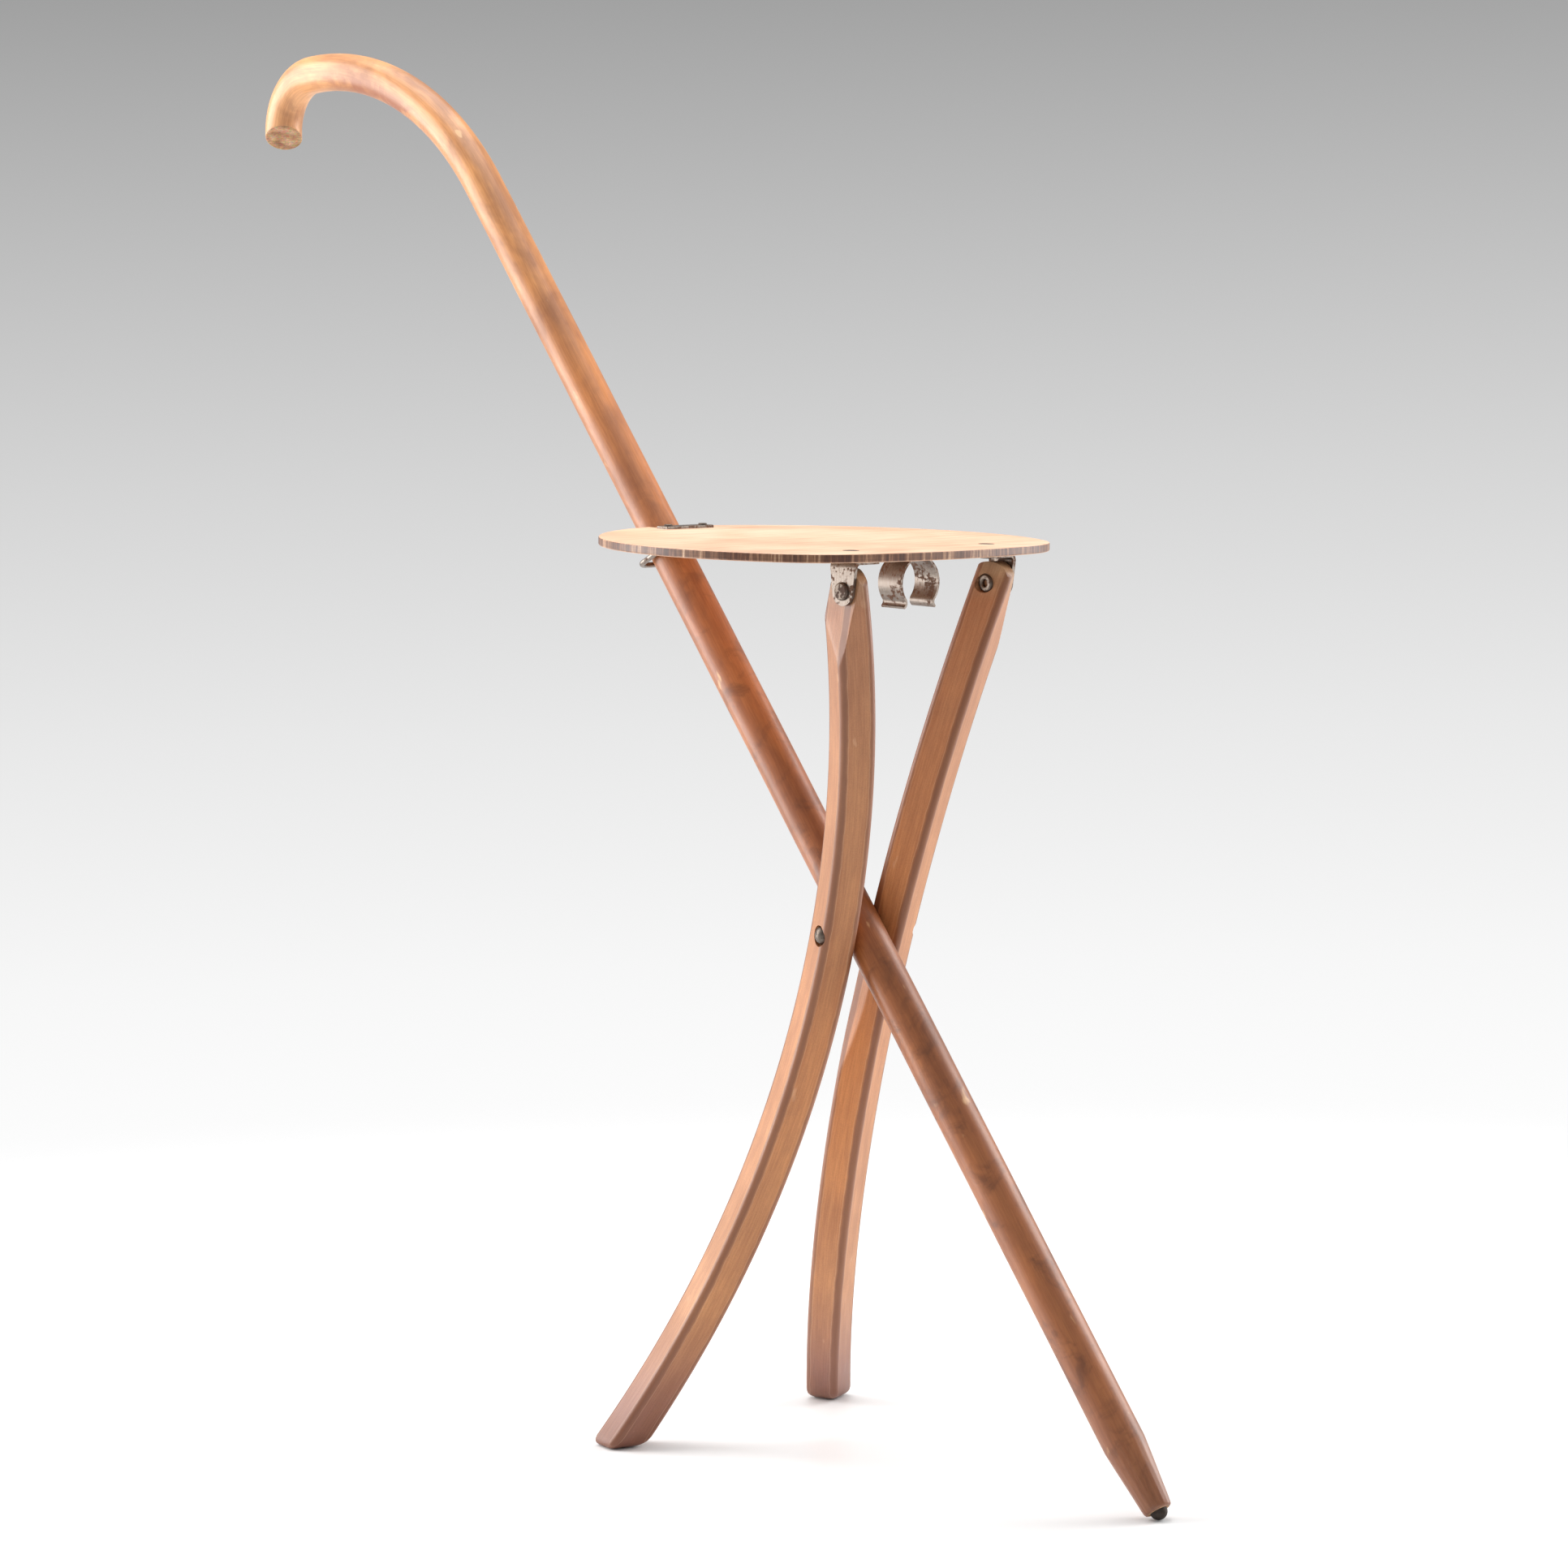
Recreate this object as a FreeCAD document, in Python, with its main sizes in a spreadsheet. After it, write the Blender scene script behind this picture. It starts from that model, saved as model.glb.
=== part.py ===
import FreeCAD, Part
import Sketcher
import math
import os

# Walking stick seat: a crook-handled stick, two bowed legs riveted across it, and a thin
# board seat carried by the leg tops and by a rod bail that slides along the stick.
# Millimetres. +Z up, +X the way a sitter faces, +Y the sitter's left.
# The origin is on the floor under the middle of the open stool.

doc = FreeCAD.newDocument("WalkingStickSeat")

# Driving dimensions. Angles are in degrees.
DRIVING = [
    # stick
    ("cane_diameter", 20.5),
    ("cane_below_pivot", 316.0),
    ("cane_above_pivot", 466.8),
    ("cane_lean", 36.2),
    ("crook_upper_radius", 174.5),
    ("crook_upper_turn", 56.5),
    ("crook_nose_radius", 31.0),
    ("crook_nose_turn", 87.3),
    ("crook_end_length", 9.0),
    ("crook_saw_place", 1.7),
    ("crook_saw_tilt", 30.0),
    ("crook_saw_turn", 42.0),
    ("cane_tip_diameter", 13.8),
    ("cane_tip_length", 34.0),
    ("tip_stud_radius", 4.2),
    ("tip_stud_shank_diameter", 3.0),
    ("tip_stud_shank_length", 18.0),
    # legs
    ("leg_width", 18.6),
    ("leg_depth", 18.0),
    ("leg_edge_radius", 3.0),
    ("leg_lean", 19.4),
    ("leg_toe", 20.0),
    ("leg_bow_radius", 613.0),
    ("leg_bow_drop", 24.9),
    ("leg_offset", 19.2),
    ("leg_top_radius", 10.4),
    ("leg_cane_clearance", 0.3),
    ("leg_top_form_length", 30.0),
    ("leg_top_form_width", 25.2),
    ("leg_spare_length", 40.0),
    # pivot rivet
    ("pivot_rivet_diameter", 6.0),
    ("pivot_head_diameter", 9.6),
    ("pivot_head_height", 3.4),
    ("pivot_seat_depth", 3.2),
    ("pivot_washer_diameter", 13.0),
    ("pivot_washer_thickness", 1.2),
    ("pivot_clench_diameter", 8.4),
    ("pivot_clench_height", 2.2),
    ("running_clearance", 0.08),
    ("rivet_hole_clearance", 0.05),
    ("sliding_gap", 0.2),
    ("seat_cut_clearance", 0.4),
    # pins that join legs and seat
    ("pin_along_leg", 173.7),
    ("pin_forward", 1.4),
    ("pin_below_board", 14.4),
    ("pin_diameter", 5.0),
    ("pin_head_diameter", 8.6),
    ("pin_head_height", 1.6),
    ("pin_roll_diameter", 8.4),
    ("pin_roll_height", 1.7),
    ("pin_roll_rounding", 0.8),
    ("pin_head_rounding", 1.0),
    ("pin_bore_diameter", 3.4),
    ("pin_bore_depth", 6.0),
    ("pin_inner_face", 42.4),
    # brackets
    ("bracket_face", 51.6),
    ("bracket_thickness", 1.8),
    ("bracket_width", 13.6),
    ("bracket_top_width", 16.6),
    ("bracket_flange_length", 17.5),
    ("bracket_bend_radius", 1.6),
    ("bracket_corner_radius", 3.0),
    ("bracket_rivet_inset", 8.5),
    ("bracket_rivet_back", 3.5),
    ("board_rivet_diameter", 4.0),
    ("board_rivet_head_diameter", 8.0),
    ("board_rivet_head_height", 0.8),
    ("board_rivet_clench_diameter", 6.4),
    ("board_rivet_clench_height", 1.0),
    # seat board
    ("board_thickness", 4.2),
    ("board_edge_radius", 0.8),
    ("board_front_radius", 264.0),
    ("board_corner_radius", 50.6),
    ("board_corner_back", 32.2),
    ("board_corner_side", 45.8),
    ("board_flank_radius", 123.0),
    ("board_nose_radius", 48.4),
    ("board_nose_back", 141.6),
    ("seat_tilt", 3.4),
    ("cane_slot_clearance", 0.6),
    # spring clip
    ("clip_back", 10.4),
    ("clip_width", 15.8),
    ("clip_thickness", 1.1),
    ("clip_mouth_angle", 51.0),
    ("clip_lip_radius", 2.6),
    ("clip_lip_turn", 100.0),
    ("clip_cane_clearance", 1.4),
    ("clip_screw_diameter", 2.8),
    ("clip_screw_length", 3.4),
    ("clip_screw_head_diameter", 6.0),
    ("clip_screw_head_height", 1.6),
    # bail, staples and wear plate
    ("bail_rod_diameter", 2.8),
    ("bail_arm_length", 29.6),
    ("bail_side_clearance", 0.6),
    ("bail_cane_clearance", 0.45),
    ("bail_corner_radius", 4.0),
    ("bail_trunnion_length", 11.0),
    ("bail_hang", 15.5),
    ("staple_wire_diameter", 1.8),
    ("staple_clearance", 0.12),
    ("staple_cover", 0.8),
    ("plate_length", 31.0),
    ("plate_width", 8.0),
    ("plate_thickness", 1.4),
    ("plate_slot_gap", 0.5),
    ("plate_edge_radius", 0.5),
    ("plate_rivet_spacing", 23.0),
    ("plate_rivet_diameter", 2.4),
    ("plate_rivet_head_diameter", 4.4),
    ("plate_rivet_head_height", 0.8),
    ("plate_rivet_clench_diameter", 3.6),
]

# Sizes that follow from the driving ones, as formulas of the same sheet.
DERIVED = [
    ("cane_radius", "cane_diameter / 2"),
    ("pivot_height", "tip_stud_radius + cane_below_pivot * cos(cane_lean * 1deg)"),
    ("foot_reach", "cane_below_pivot * sin(cane_lean * 1deg)"),
    ("cane_straight", "cane_below_pivot + cane_above_pivot"),
    ("crook_step", "crook_upper_radius - crook_nose_radius"),
    ("crook_centre_along", "cane_above_pivot + crook_step * sin(crook_upper_turn * 1deg)"),
    ("crook_centre_back", "crook_upper_radius - crook_step * cos(crook_upper_turn * 1deg)"),
    ("crook_turn", "crook_upper_turn + crook_nose_turn"),
    ("crook_saw_back", "crook_centre_back - crook_nose_radius * cos(crook_turn * 1deg)"
                       " + crook_saw_place * sin(crook_turn * 1deg)"),
    ("crook_saw_along", "cane_straight + crook_step * sin(crook_upper_turn * 1deg)"
                        " + crook_nose_radius * sin(crook_turn * 1deg)"
                        " + crook_saw_place * cos(crook_turn * 1deg)"),
    ("crook_reach", "crook_centre_along * sin(cane_lean * 1deg)"
                    " + crook_centre_back * cos(cane_lean * 1deg) + crook_nose_radius + cane_radius"),
    ("pivot_place", "(crook_reach - foot_reach - cane_tip_diameter / 2 * cos(cane_lean * 1deg)) / 2"),
    ("bow_at_pin", "leg_bow_radius - sqrt(leg_bow_radius ^ 2 - (pin_along_leg + leg_bow_drop) ^ 2)"),
    ("pin_back", "sin(leg_toe * 1deg) * bow_at_pin - pin_forward"),
    ("pin_reach", "pin_along_leg * sin(leg_lean * 1deg) - pin_back * cos(leg_lean * 1deg)"),
    ("pin_rise", "pin_along_leg * cos(leg_lean * 1deg) + pin_back * sin(leg_lean * 1deg)"),
    ("pin_place", "pivot_place + pin_reach"),
    ("pin_height", "pivot_height + pin_rise"),
    ("pin_lean", "atan(pin_reach / pin_rise) / 1deg"),
    ("pin_radius_arm", "sqrt(pin_reach ^ 2 + pin_rise ^ 2)"),
    ("cane_board_angle", "90 - cane_lean - seat_tilt"),
    ("slide_back", "pin_radius_arm * sin((pin_lean + cane_lean) * 1deg) / sin(cane_board_angle * 1deg)"),
    ("leg_top_slope", "asin((pin_along_leg + leg_bow_drop) / leg_bow_radius) / 1deg"),
    ("leg_top_lean", "leg_lean - atan(tan(leg_top_slope * 1deg) * sin(leg_toe * 1deg)) / 1deg"),
    ("board_top", "pin_below_board + board_thickness"),
    ("bracket_outer", "bracket_face + bracket_thickness"),
    ("bracket_rivet_side", "bracket_outer - bracket_rivet_inset"),
    ("pivot_head_face", "leg_offset + leg_depth / 2 * cos(leg_toe * 1deg)"
                        " + leg_width / 2 * sin(leg_toe * 1deg)"
                        " - leg_edge_radius * (cos(leg_toe * 1deg) + sin(leg_toe * 1deg) - 1)"
                        " - pivot_seat_depth"),
    ("slot_front", "slide_back + pin_below_board / tan(cane_board_angle * 1deg)"
                   " - cane_radius / sin(cane_board_angle * 1deg) - cane_slot_clearance"),
    ("slot_radius", "cane_radius + cane_slot_clearance"),
    ("clip_inner_radius", "cane_radius + clip_cane_clearance"),
    ("clip_centre", "pin_below_board - clip_inner_radius - clip_thickness"),
    ("clip_middle_radius", "clip_inner_radius + clip_thickness / 2"),
    ("clip_lip_centre", "clip_middle_radius + clip_lip_radius"),
    ("leg_reach", "pivot_height / cos(leg_lean * 1deg) + leg_spare_length"),
    ("leg_sweep", "2 * asin(leg_reach / leg_bow_radius) / 1deg"),
    ("plate_rear", "slot_front - plate_slot_gap"),
    ("plate_front", "plate_rear - plate_width"),
    ("plate_rivet_back", "plate_rear - plate_width / 2"),
    ("flush_depth", "board_rivet_head_height"),
    ("bail_hinge_drop", "bail_rod_diameter / 2 + staple_clearance"),
    ("bail_bar_offset", "cane_radius + bail_rod_diameter / 2 + bail_cane_clearance"),
    ("bail_bar_along", "(pin_below_board - bail_hang + bail_bar_offset * cos(cane_board_angle * 1deg))"
                       " / sin(cane_board_angle * 1deg)"),
    ("bail_bar_back", "slide_back + bail_bar_along * cos(cane_board_angle * 1deg)"
                      " + bail_bar_offset * sin(cane_board_angle * 1deg)"),
    ("bail_rest_angle", "asin((bail_hang - bail_hinge_drop) / bail_arm_length) / 1deg"),
    ("bail_hinge_back", "bail_bar_back - bail_arm_length * cos(bail_rest_angle * 1deg)"),
    ("bail_half_width", "cane_radius + bail_side_clearance + bail_rod_diameter / 2"),
    ("staple_side", "bail_half_width + bail_trunnion_length / 2"),
    ("staple_half_gap", "bail_rod_diameter / 2 + staple_clearance + staple_wire_diameter / 2"),
]

dims = doc.addObject("Spreadsheet::Sheet", "Dimensions")
for row, (name, value) in enumerate(DRIVING, 1):
    dims.set(f"A{row}", name)
    dims.set(f"B{row}", str(value))
    dims.setAlias(f"B{row}", name)
for row, (name, formula) in enumerate(DERIVED, 1):
    dims.set(f"D{row}", name)
    dims.set(f"E{row}", "=" + formula)
    dims.setAlias(f"E{row}", name)
doc.recompute()


def size(name):
    """A number from the sheet."""
    return float(dims.get(name))


def bind(obj, prop, formula):
    """Tie a property to the sheet; a word in braces is a size there."""
    obj.setExpression(prop, formula.replace("{", "Dimensions.").replace("}", ""))


def vec(x=0.0, y=0.0, z=0.0):
    return FreeCAD.Vector(x, y, z)


# Sketch helpers

def body(label):
    """An empty body named after its piece."""
    made = doc.addObject("PartDesign::Body", label)
    made.Label = label
    return made


def origin_feature(owner, role):
    """A base plane or axis of a body."""
    return next(f for f in owner.Origin.OriginFeatures if f.Role == role)


def sketch(owner, name, role, offset=None):
    """A sketch on one of its body's own base planes, lifted off it by a bound offset."""
    made = owner.newObject("Sketcher::SketchObject", name)
    made.AttachmentSupport = [(origin_feature(owner, role), "")]
    made.MapMode = "FlatFace"
    if offset:
        bind(made, "AttachmentOffset.Base.z", offset)
    return made


def constrain(sk, kind, refs, name=None, formula=None, value=None):
    """Add one constraint; a named one is driven by the sheet."""
    args = list(refs) if value is None else list(refs) + [value]
    index = sk.addConstraint(Sketcher.Constraint(kind, *args))
    if name:
        sk.renameConstraint(index, name)
        bind(sk, f"Constraints.{name}", formula)
    return index


trial = doc.addObject("Spreadsheet::Sheet", "Trial")


def value_of(formula):
    """What a formula comes to, read through a cell of a spare sheet."""
    trial.set("A1", "=" + formula.replace("{", "Dimensions.").replace("}", ""))
    trial.recompute()
    return float(trial.get("A1"))


def polygon(sk, corners, tag="p"):
    """A closed outline; each corner is a pair of formulas for its place in the sketch."""
    places = [(value_of(fx), value_of(fy)) for fx, fy in corners]
    count = len(corners)
    lines = []
    for here, there in zip(places, places[1:] + places[:1]):
        lines.append(sk.addGeometry(Part.LineSegment(vec(*here), vec(*there)), False))
    for n in range(count):
        constrain(sk, "Coincident", [lines[n], 2, lines[(n + 1) % count], 1])
    for n, ((fx, fy), (x, y)) in enumerate(zip(corners, places)):
        constrain(sk, "DistanceX", [-1, 1, lines[n], 1], f"{tag}{n}_x", fx, x)
        constrain(sk, "DistanceY", [-1, 1, lines[n], 1], f"{tag}{n}_y", fy, y)
    return lines


def circle(sk, radius, fx="0", fy="0", tag="c"):
    """A circle; its radius and centre are formulas."""
    x, y, r = value_of(fx), value_of(fy), value_of(radius)
    geo = sk.addGeometry(Part.Circle(vec(x, y), vec(0, 0, 1), r), False)
    constrain(sk, "Radius", [geo], f"{tag}_radius", radius, r)
    constrain(sk, "DistanceX", [-1, 1, geo, 3], f"{tag}_x", fx, x)
    constrain(sk, "DistanceY", [-1, 1, geo, 3], f"{tag}_y", fy, y)
    return geo


def bent_path(sk, corners, radius):
    """An open path of straight runs parallel to the axes, joined by tangent quarter turns."""
    places = [vec(value_of(fx), value_of(fy)) for fx, fy in corners]
    bend = value_of(radius)
    last = len(places) - 1
    previous = None
    for n in range(last):
        run = places[n + 1] - places[n]
        step = run.normalize() if run.Length else run
        start = places[n] + step * (bend if n > 0 else 0)
        end = places[n + 1] - step * (bend if n + 1 < last else 0)
        line = sk.addGeometry(Part.LineSegment(start, end), False)
        along_x = abs(step.x) > abs(step.y)
        sign = "+" if (step.x + step.y) > 0 else "-"
        back = "-" if sign == "+" else "+"
        for pos, corner, bent, shift in ((1, corners[n], n > 0, sign), (2, corners[n + 1], n + 1 < last, back)):
            fx, fy = corner
            if bent and along_x:
                fx = f"{fx} {shift} {radius}"
            if bent and not along_x:
                fy = f"{fy} {shift} {radius}"
            point = start if pos == 1 else end
            constrain(sk, "DistanceX", [-1, 1, line, pos], f"run{n}_{pos}_x", fx, point.x)
            constrain(sk, "DistanceY", [-1, 1, line, pos], f"run{n}_{pos}_y", fy, point.y)
        if previous is not None:
            join(sk, previous, line, places[n], bend, radius, f"bend{n}")
        previous = line


def join(sk, first, second, corner, bend, radius, tag):
    """A quarter turn between the end of one run and the start of the next."""
    a = sk.getPoint(first, 2)
    b = sk.getPoint(second, 1)
    centre = a + b - corner
    from_a = a - centre
    from_b = b - centre
    left_turn = from_a.cross(from_b).z > 0
    start, end = (from_a, from_b) if left_turn else (from_b, from_a)
    low = math.atan2(start.y, start.x)
    ring = Part.Circle(centre, vec(0, 0, 1), bend)
    geo = sk.addGeometry(Part.ArcOfCircle(ring, low, low + math.pi / 2), False)
    first_pos = 1 if left_turn else 2
    constrain(sk, "Coincident", [first, 2, geo, first_pos])
    constrain(sk, "Coincident", [second, 1, geo, 3 - first_pos])
    constrain(sk, "Radius", [geo], f"{tag}_radius", radius, bend)


# Feature helpers

def pad(owner, name, sk, length, symmetric=False):
    made = owner.newObject("PartDesign::Pad", name)
    made.Profile = sk
    bind(made, "Length", length)
    made.SideType = "Symmetric" if symmetric else "One side"
    return made


def drill(owner, name, sk, reverse=False, depth=None):
    """Cut a sketch out of the body, right through or to a depth."""
    made = owner.newObject("PartDesign::Pocket", name)
    made.Profile = sk
    made.Reversed = reverse
    if depth:
        made.Type = "Length"
        bind(made, "Length", depth)
    else:
        made.Type = "ThroughAll"
        made.SideType = "Symmetric"
    return made


def pipe(owner, name, section, spine):
    made = owner.newObject("PartDesign::AdditivePipe", name)
    made.Profile = section
    made.Spine = (spine, [])
    made.Transition = "Transformed"
    return made


def round_edges(owner, name, base, names, radius):
    made = owner.newObject("PartDesign::Fillet", name)
    made.Base = (base, names)
    bind(made, "Radius", radius)
    return made


def rim(feature, radius, height):
    """Name of the round edge about the Z axis with this radius and height."""
    r, z = value_of(radius), value_of(height)
    for number, edge in enumerate(feature.Shape.Edges, 1):
        curve = edge.Curve
        if isinstance(curve, Part.Circle) and abs(curve.Radius - r) < 0.01 and abs(curve.Center.z - z) < 0.01:
            return f"Edge{number}"
    raise RuntimeError(f"no rim of radius {r:.2f} at {z:.2f} on {feature.Name}")


def turned(label, corners, rims, placement):
    """A turned piece: an outline of radius and height pairs, and the rims that are rounded."""
    owner = body(label)
    profile = sketch(owner, label + "_profile", "XZ_Plane")
    polygon(profile, corners)
    feature = owner.newObject("PartDesign::Revolution", label + "_turn")
    feature.Profile = profile
    feature.ReferenceAxis = (profile, ["V_Axis"])
    feature.Angle = 360
    doc.recompute()
    for number, (radius, height, rounding) in enumerate(rims, 1):
        edge = rim(feature, radius, height)
        feature = round_edges(owner, f"{label}_round_{number}", feature, [edge], rounding)
        doc.recompute()
    bind(owner, "Placement", placement)
    return owner


def primitive(kind, name, placement, **formulas):
    """A Part primitive with bound sizes and a bound place."""
    made = doc.addObject("Part::" + kind, name)
    for prop, formula in formulas.items():
        bind(made, prop, formula)
    bind(made, "Placement", placement)
    return made


def cut(label, base, tool):
    made = doc.addObject("Part::Cut", label)
    made.Base = base
    made.Tool = tool
    made.Label = label
    return made


def fuse(label, shapes):
    made = doc.addObject("Part::MultiFuse", label)
    made.Shapes = shapes
    made.Label = label
    return made


def mirrored(label, source):
    """The same piece on the other side of the stool."""
    made = doc.addObject("Part::Mirroring", label)
    made.Source = source
    made.Base = vec()
    made.Normal = vec(0, 1, 0)
    made.Label = label
    return made


def pair(label, source):
    """A piece and its mirror image as one group of two separate solids."""
    made = doc.addObject("Part::Compound", label)
    made.Links = [source, mirrored(label + "_twin", source)]
    made.Label = label
    return made


# Places: frames of the stick, of the seat and of the left leg's bow

def cane_frame(x="0", y="0", z="0", turn="rotation(vector(0; 0; 1); 0deg)"):
    """A place along the stick: z runs up it from the middle of its lower end, -x to the crook."""
    return ("placement(vector({pivot_place} + {foot_reach}; 0; {tip_stud_radius});"
            " rotation(vector(0; 1; 0); -{cane_lean} * 1deg))"
            f" * placement(vector({x}; {y}; {z}); {turn})")


def seat_frame(x="0", y="0", z="0", turn="rotation(vector(0; 0; 1); 0deg)"):
    """A place in the seat: the origin is on the pins' axis, x to the front, z up through the board."""
    return ("placement(vector({pin_place}; 0; {pin_height}); rotation(vector(0; 1; 0); {seat_tilt} * 1deg))"
            f" * placement(vector({x}; {y}; {z}); {turn})")


def pivot_frame(x="0", y="0", z="0", turn="rotation(vector(0; 0; 1); 0deg)"):
    """A place measured from the middle of the scissor pivot, along the world's axes."""
    return f"placement(vector({{pivot_place}} + {x}; {y}; {{pivot_height}} + {z}); {turn})"


def bow_frame(side, turn):
    """Middle of a leg's bow: z along the leg, y outwards; side is a sign and turn the toe about z."""
    return ("placement(vector("
            "{pivot_place} - {leg_bow_drop} * sin({leg_lean} * 1deg)"
            " - {leg_bow_radius} * sin({leg_toe} * 1deg) * cos({leg_lean} * 1deg);"
            f" {side}" "({leg_offset} + {leg_bow_radius} * cos({leg_toe} * 1deg));"
            " {pivot_height} - {leg_bow_drop} * cos({leg_lean} * 1deg)"
            " + {leg_bow_radius} * sin({leg_toe} * 1deg) * sin({leg_lean} * 1deg));"
            f" rotation(vector(0; 1; 0); {{leg_lean}} * 1deg) * rotation(vector(0; 0; 1); ({turn}) * 1deg))")


def place_at(x, y, z):
    """A plain shift."""
    return f"placement(vector({x}; {y}; {z}); rotation(vector(0; 0; 1); 0deg))"


Y_AXIS = "rotation(vector(1; 0; 0); -90deg)"
MINUS_Y_AXIS = "rotation(vector(1; 0; 0); 90deg)"
X_AXIS = "rotation(vector(0; 1; 0); 90deg)"


# Stick

stick = body("bent_stick")
tip_profile = sketch(stick, "tip_profile", "XZ_Plane")
polygon(tip_profile, [
    ("0", "0"),
    ("{cane_tip_diameter} / 2", "0"),
    ("{cane_radius}", "{cane_tip_length}"),
    ("0", "{cane_tip_length}"),
])
tip = stick.newObject("PartDesign::Revolution", "tip")
tip.Profile = tip_profile
tip.ReferenceAxis = (tip_profile, ["V_Axis"])
tip.Angle = 360


def crook_path(sk):
    """The middle line of the stick: straight, a long easy bend, a tight nose, a short end."""
    low = value_of("{cane_tip_length}")
    top = value_of("{cane_straight}")
    r1 = size("crook_upper_radius")
    r2 = size("crook_nose_radius")
    t1 = math.radians(size("crook_upper_turn"))
    t2 = math.radians(size("crook_turn"))
    end = size("crook_end_length")
    c1 = vec(-r1, top)
    c2 = c1 + vec(math.cos(t1), math.sin(t1)) * (r1 - r2)
    stop = c2 + vec(math.cos(t2), math.sin(t2)) * r2
    shaft = sk.addGeometry(Part.LineSegment(vec(0, low), vec(0, top)), False)
    easy = sk.addGeometry(Part.ArcOfCircle(Part.Circle(c1, vec(0, 0, 1), r1), 0, t1), False)
    nose = sk.addGeometry(Part.ArcOfCircle(Part.Circle(c2, vec(0, 0, 1), r2), t1, t2), False)
    last = sk.addGeometry(Part.LineSegment(stop, stop + vec(-math.sin(t2), math.cos(t2)) * end), False)
    constrain(sk, "DistanceX", [-1, 1, shaft, 1], "shaft_x", "0", 0.0)
    constrain(sk, "DistanceY", [-1, 1, shaft, 1], "shaft_start", "{cane_tip_length}", low)
    constrain(sk, "Vertical", [shaft])
    constrain(sk, "DistanceY", [-1, 1, shaft, 2], "shaft_end", "{cane_straight}", top)
    constrain(sk, "Tangent", [shaft, 2, easy, 1])
    constrain(sk, "Tangent", [easy, 2, nose, 1])
    constrain(sk, "Tangent", [nose, 2, last, 1])
    constrain(sk, "Radius", [easy], "easy_radius", "{crook_upper_radius}", r1)
    constrain(sk, "Radius", [nose], "nose_radius", "{crook_nose_radius}", r2)
    constrain(sk, "DistanceX", [-1, 1, nose, 3], "nose_x", "-{crook_centre_back}", c2.x)
    constrain(sk, "Distance", [last], "end_length", "{crook_end_length}", end)
    constrain(sk, "Angle", [-1, 1, last, 1], "end_angle", "(90 + {crook_turn}) * 1deg", math.pi / 2 + t2)


cane_path = sketch(stick, "cane_path", "XZ_Plane")
crook_path(cane_path)
cane_section = sketch(stick, "cane_section", "XY_Plane", "{cane_tip_length}")
circle(cane_section, "{cane_radius}")
pipe(stick, "stick_bar", cane_section, cane_path)
cross_bore = sketch(stick, "cross_bore", "XZ_Plane")
circle(cross_bore, "{pivot_rivet_diameter} / 2 + {running_clearance}", "0", "{cane_below_pivot}")
drill(stick, "pivot_bore", cross_bore)
stud_hole = sketch(stick, "stud_hole", "XY_Plane")
circle(stud_hole, "{tip_stud_shank_diameter} / 2 + {rivet_hole_clearance}")
drill(stick, "stud_bore", stud_hole, reverse=True, depth="{tip_stud_shank_length} + {sliding_gap}")
bind(stick, "Placement", cane_frame())

# the crook's end is sawn off askew
saw_turn = ("rotation(vector(0; 1; 0); {cane_lean} * 1deg)"
            " * rotation(vector(0; 0; 1); -{crook_saw_turn} * 1deg)"
            " * rotation(vector(0; 1; 0); (180 - {crook_saw_tilt}) * 1deg)")
saw_place = cane_frame("-{crook_saw_back}", "0", "{crook_saw_along}", saw_turn)
crook_waste = primitive("Box", "crook_waste",
                        f"{saw_place} * {place_at('-{cane_diameter}', '-{cane_diameter}', '0')}",
                        Length="2 * {cane_diameter}", Width="2 * {cane_diameter}", Height="{cane_diameter}")
cane = cut("cane", stick, crook_waste)

stud_head = primitive("Sphere", "stud_head", cane_frame(), Radius="{tip_stud_radius}",
                      Angle1="-90deg", Angle2="0deg")
stud_shank = primitive("Cylinder", "stud_shank", cane_frame(),
                       Radius="{tip_stud_shank_diameter} / 2", Height="{tip_stud_shank_length}")
cane_tip_stud = fuse("cane_tip_stud", [stud_head, stud_shank])


# Legs: each a bent square bar, sawn level at the floor, flattened where it meets the stick
# and the bracket, and rounded over at the top about its pin.

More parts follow.
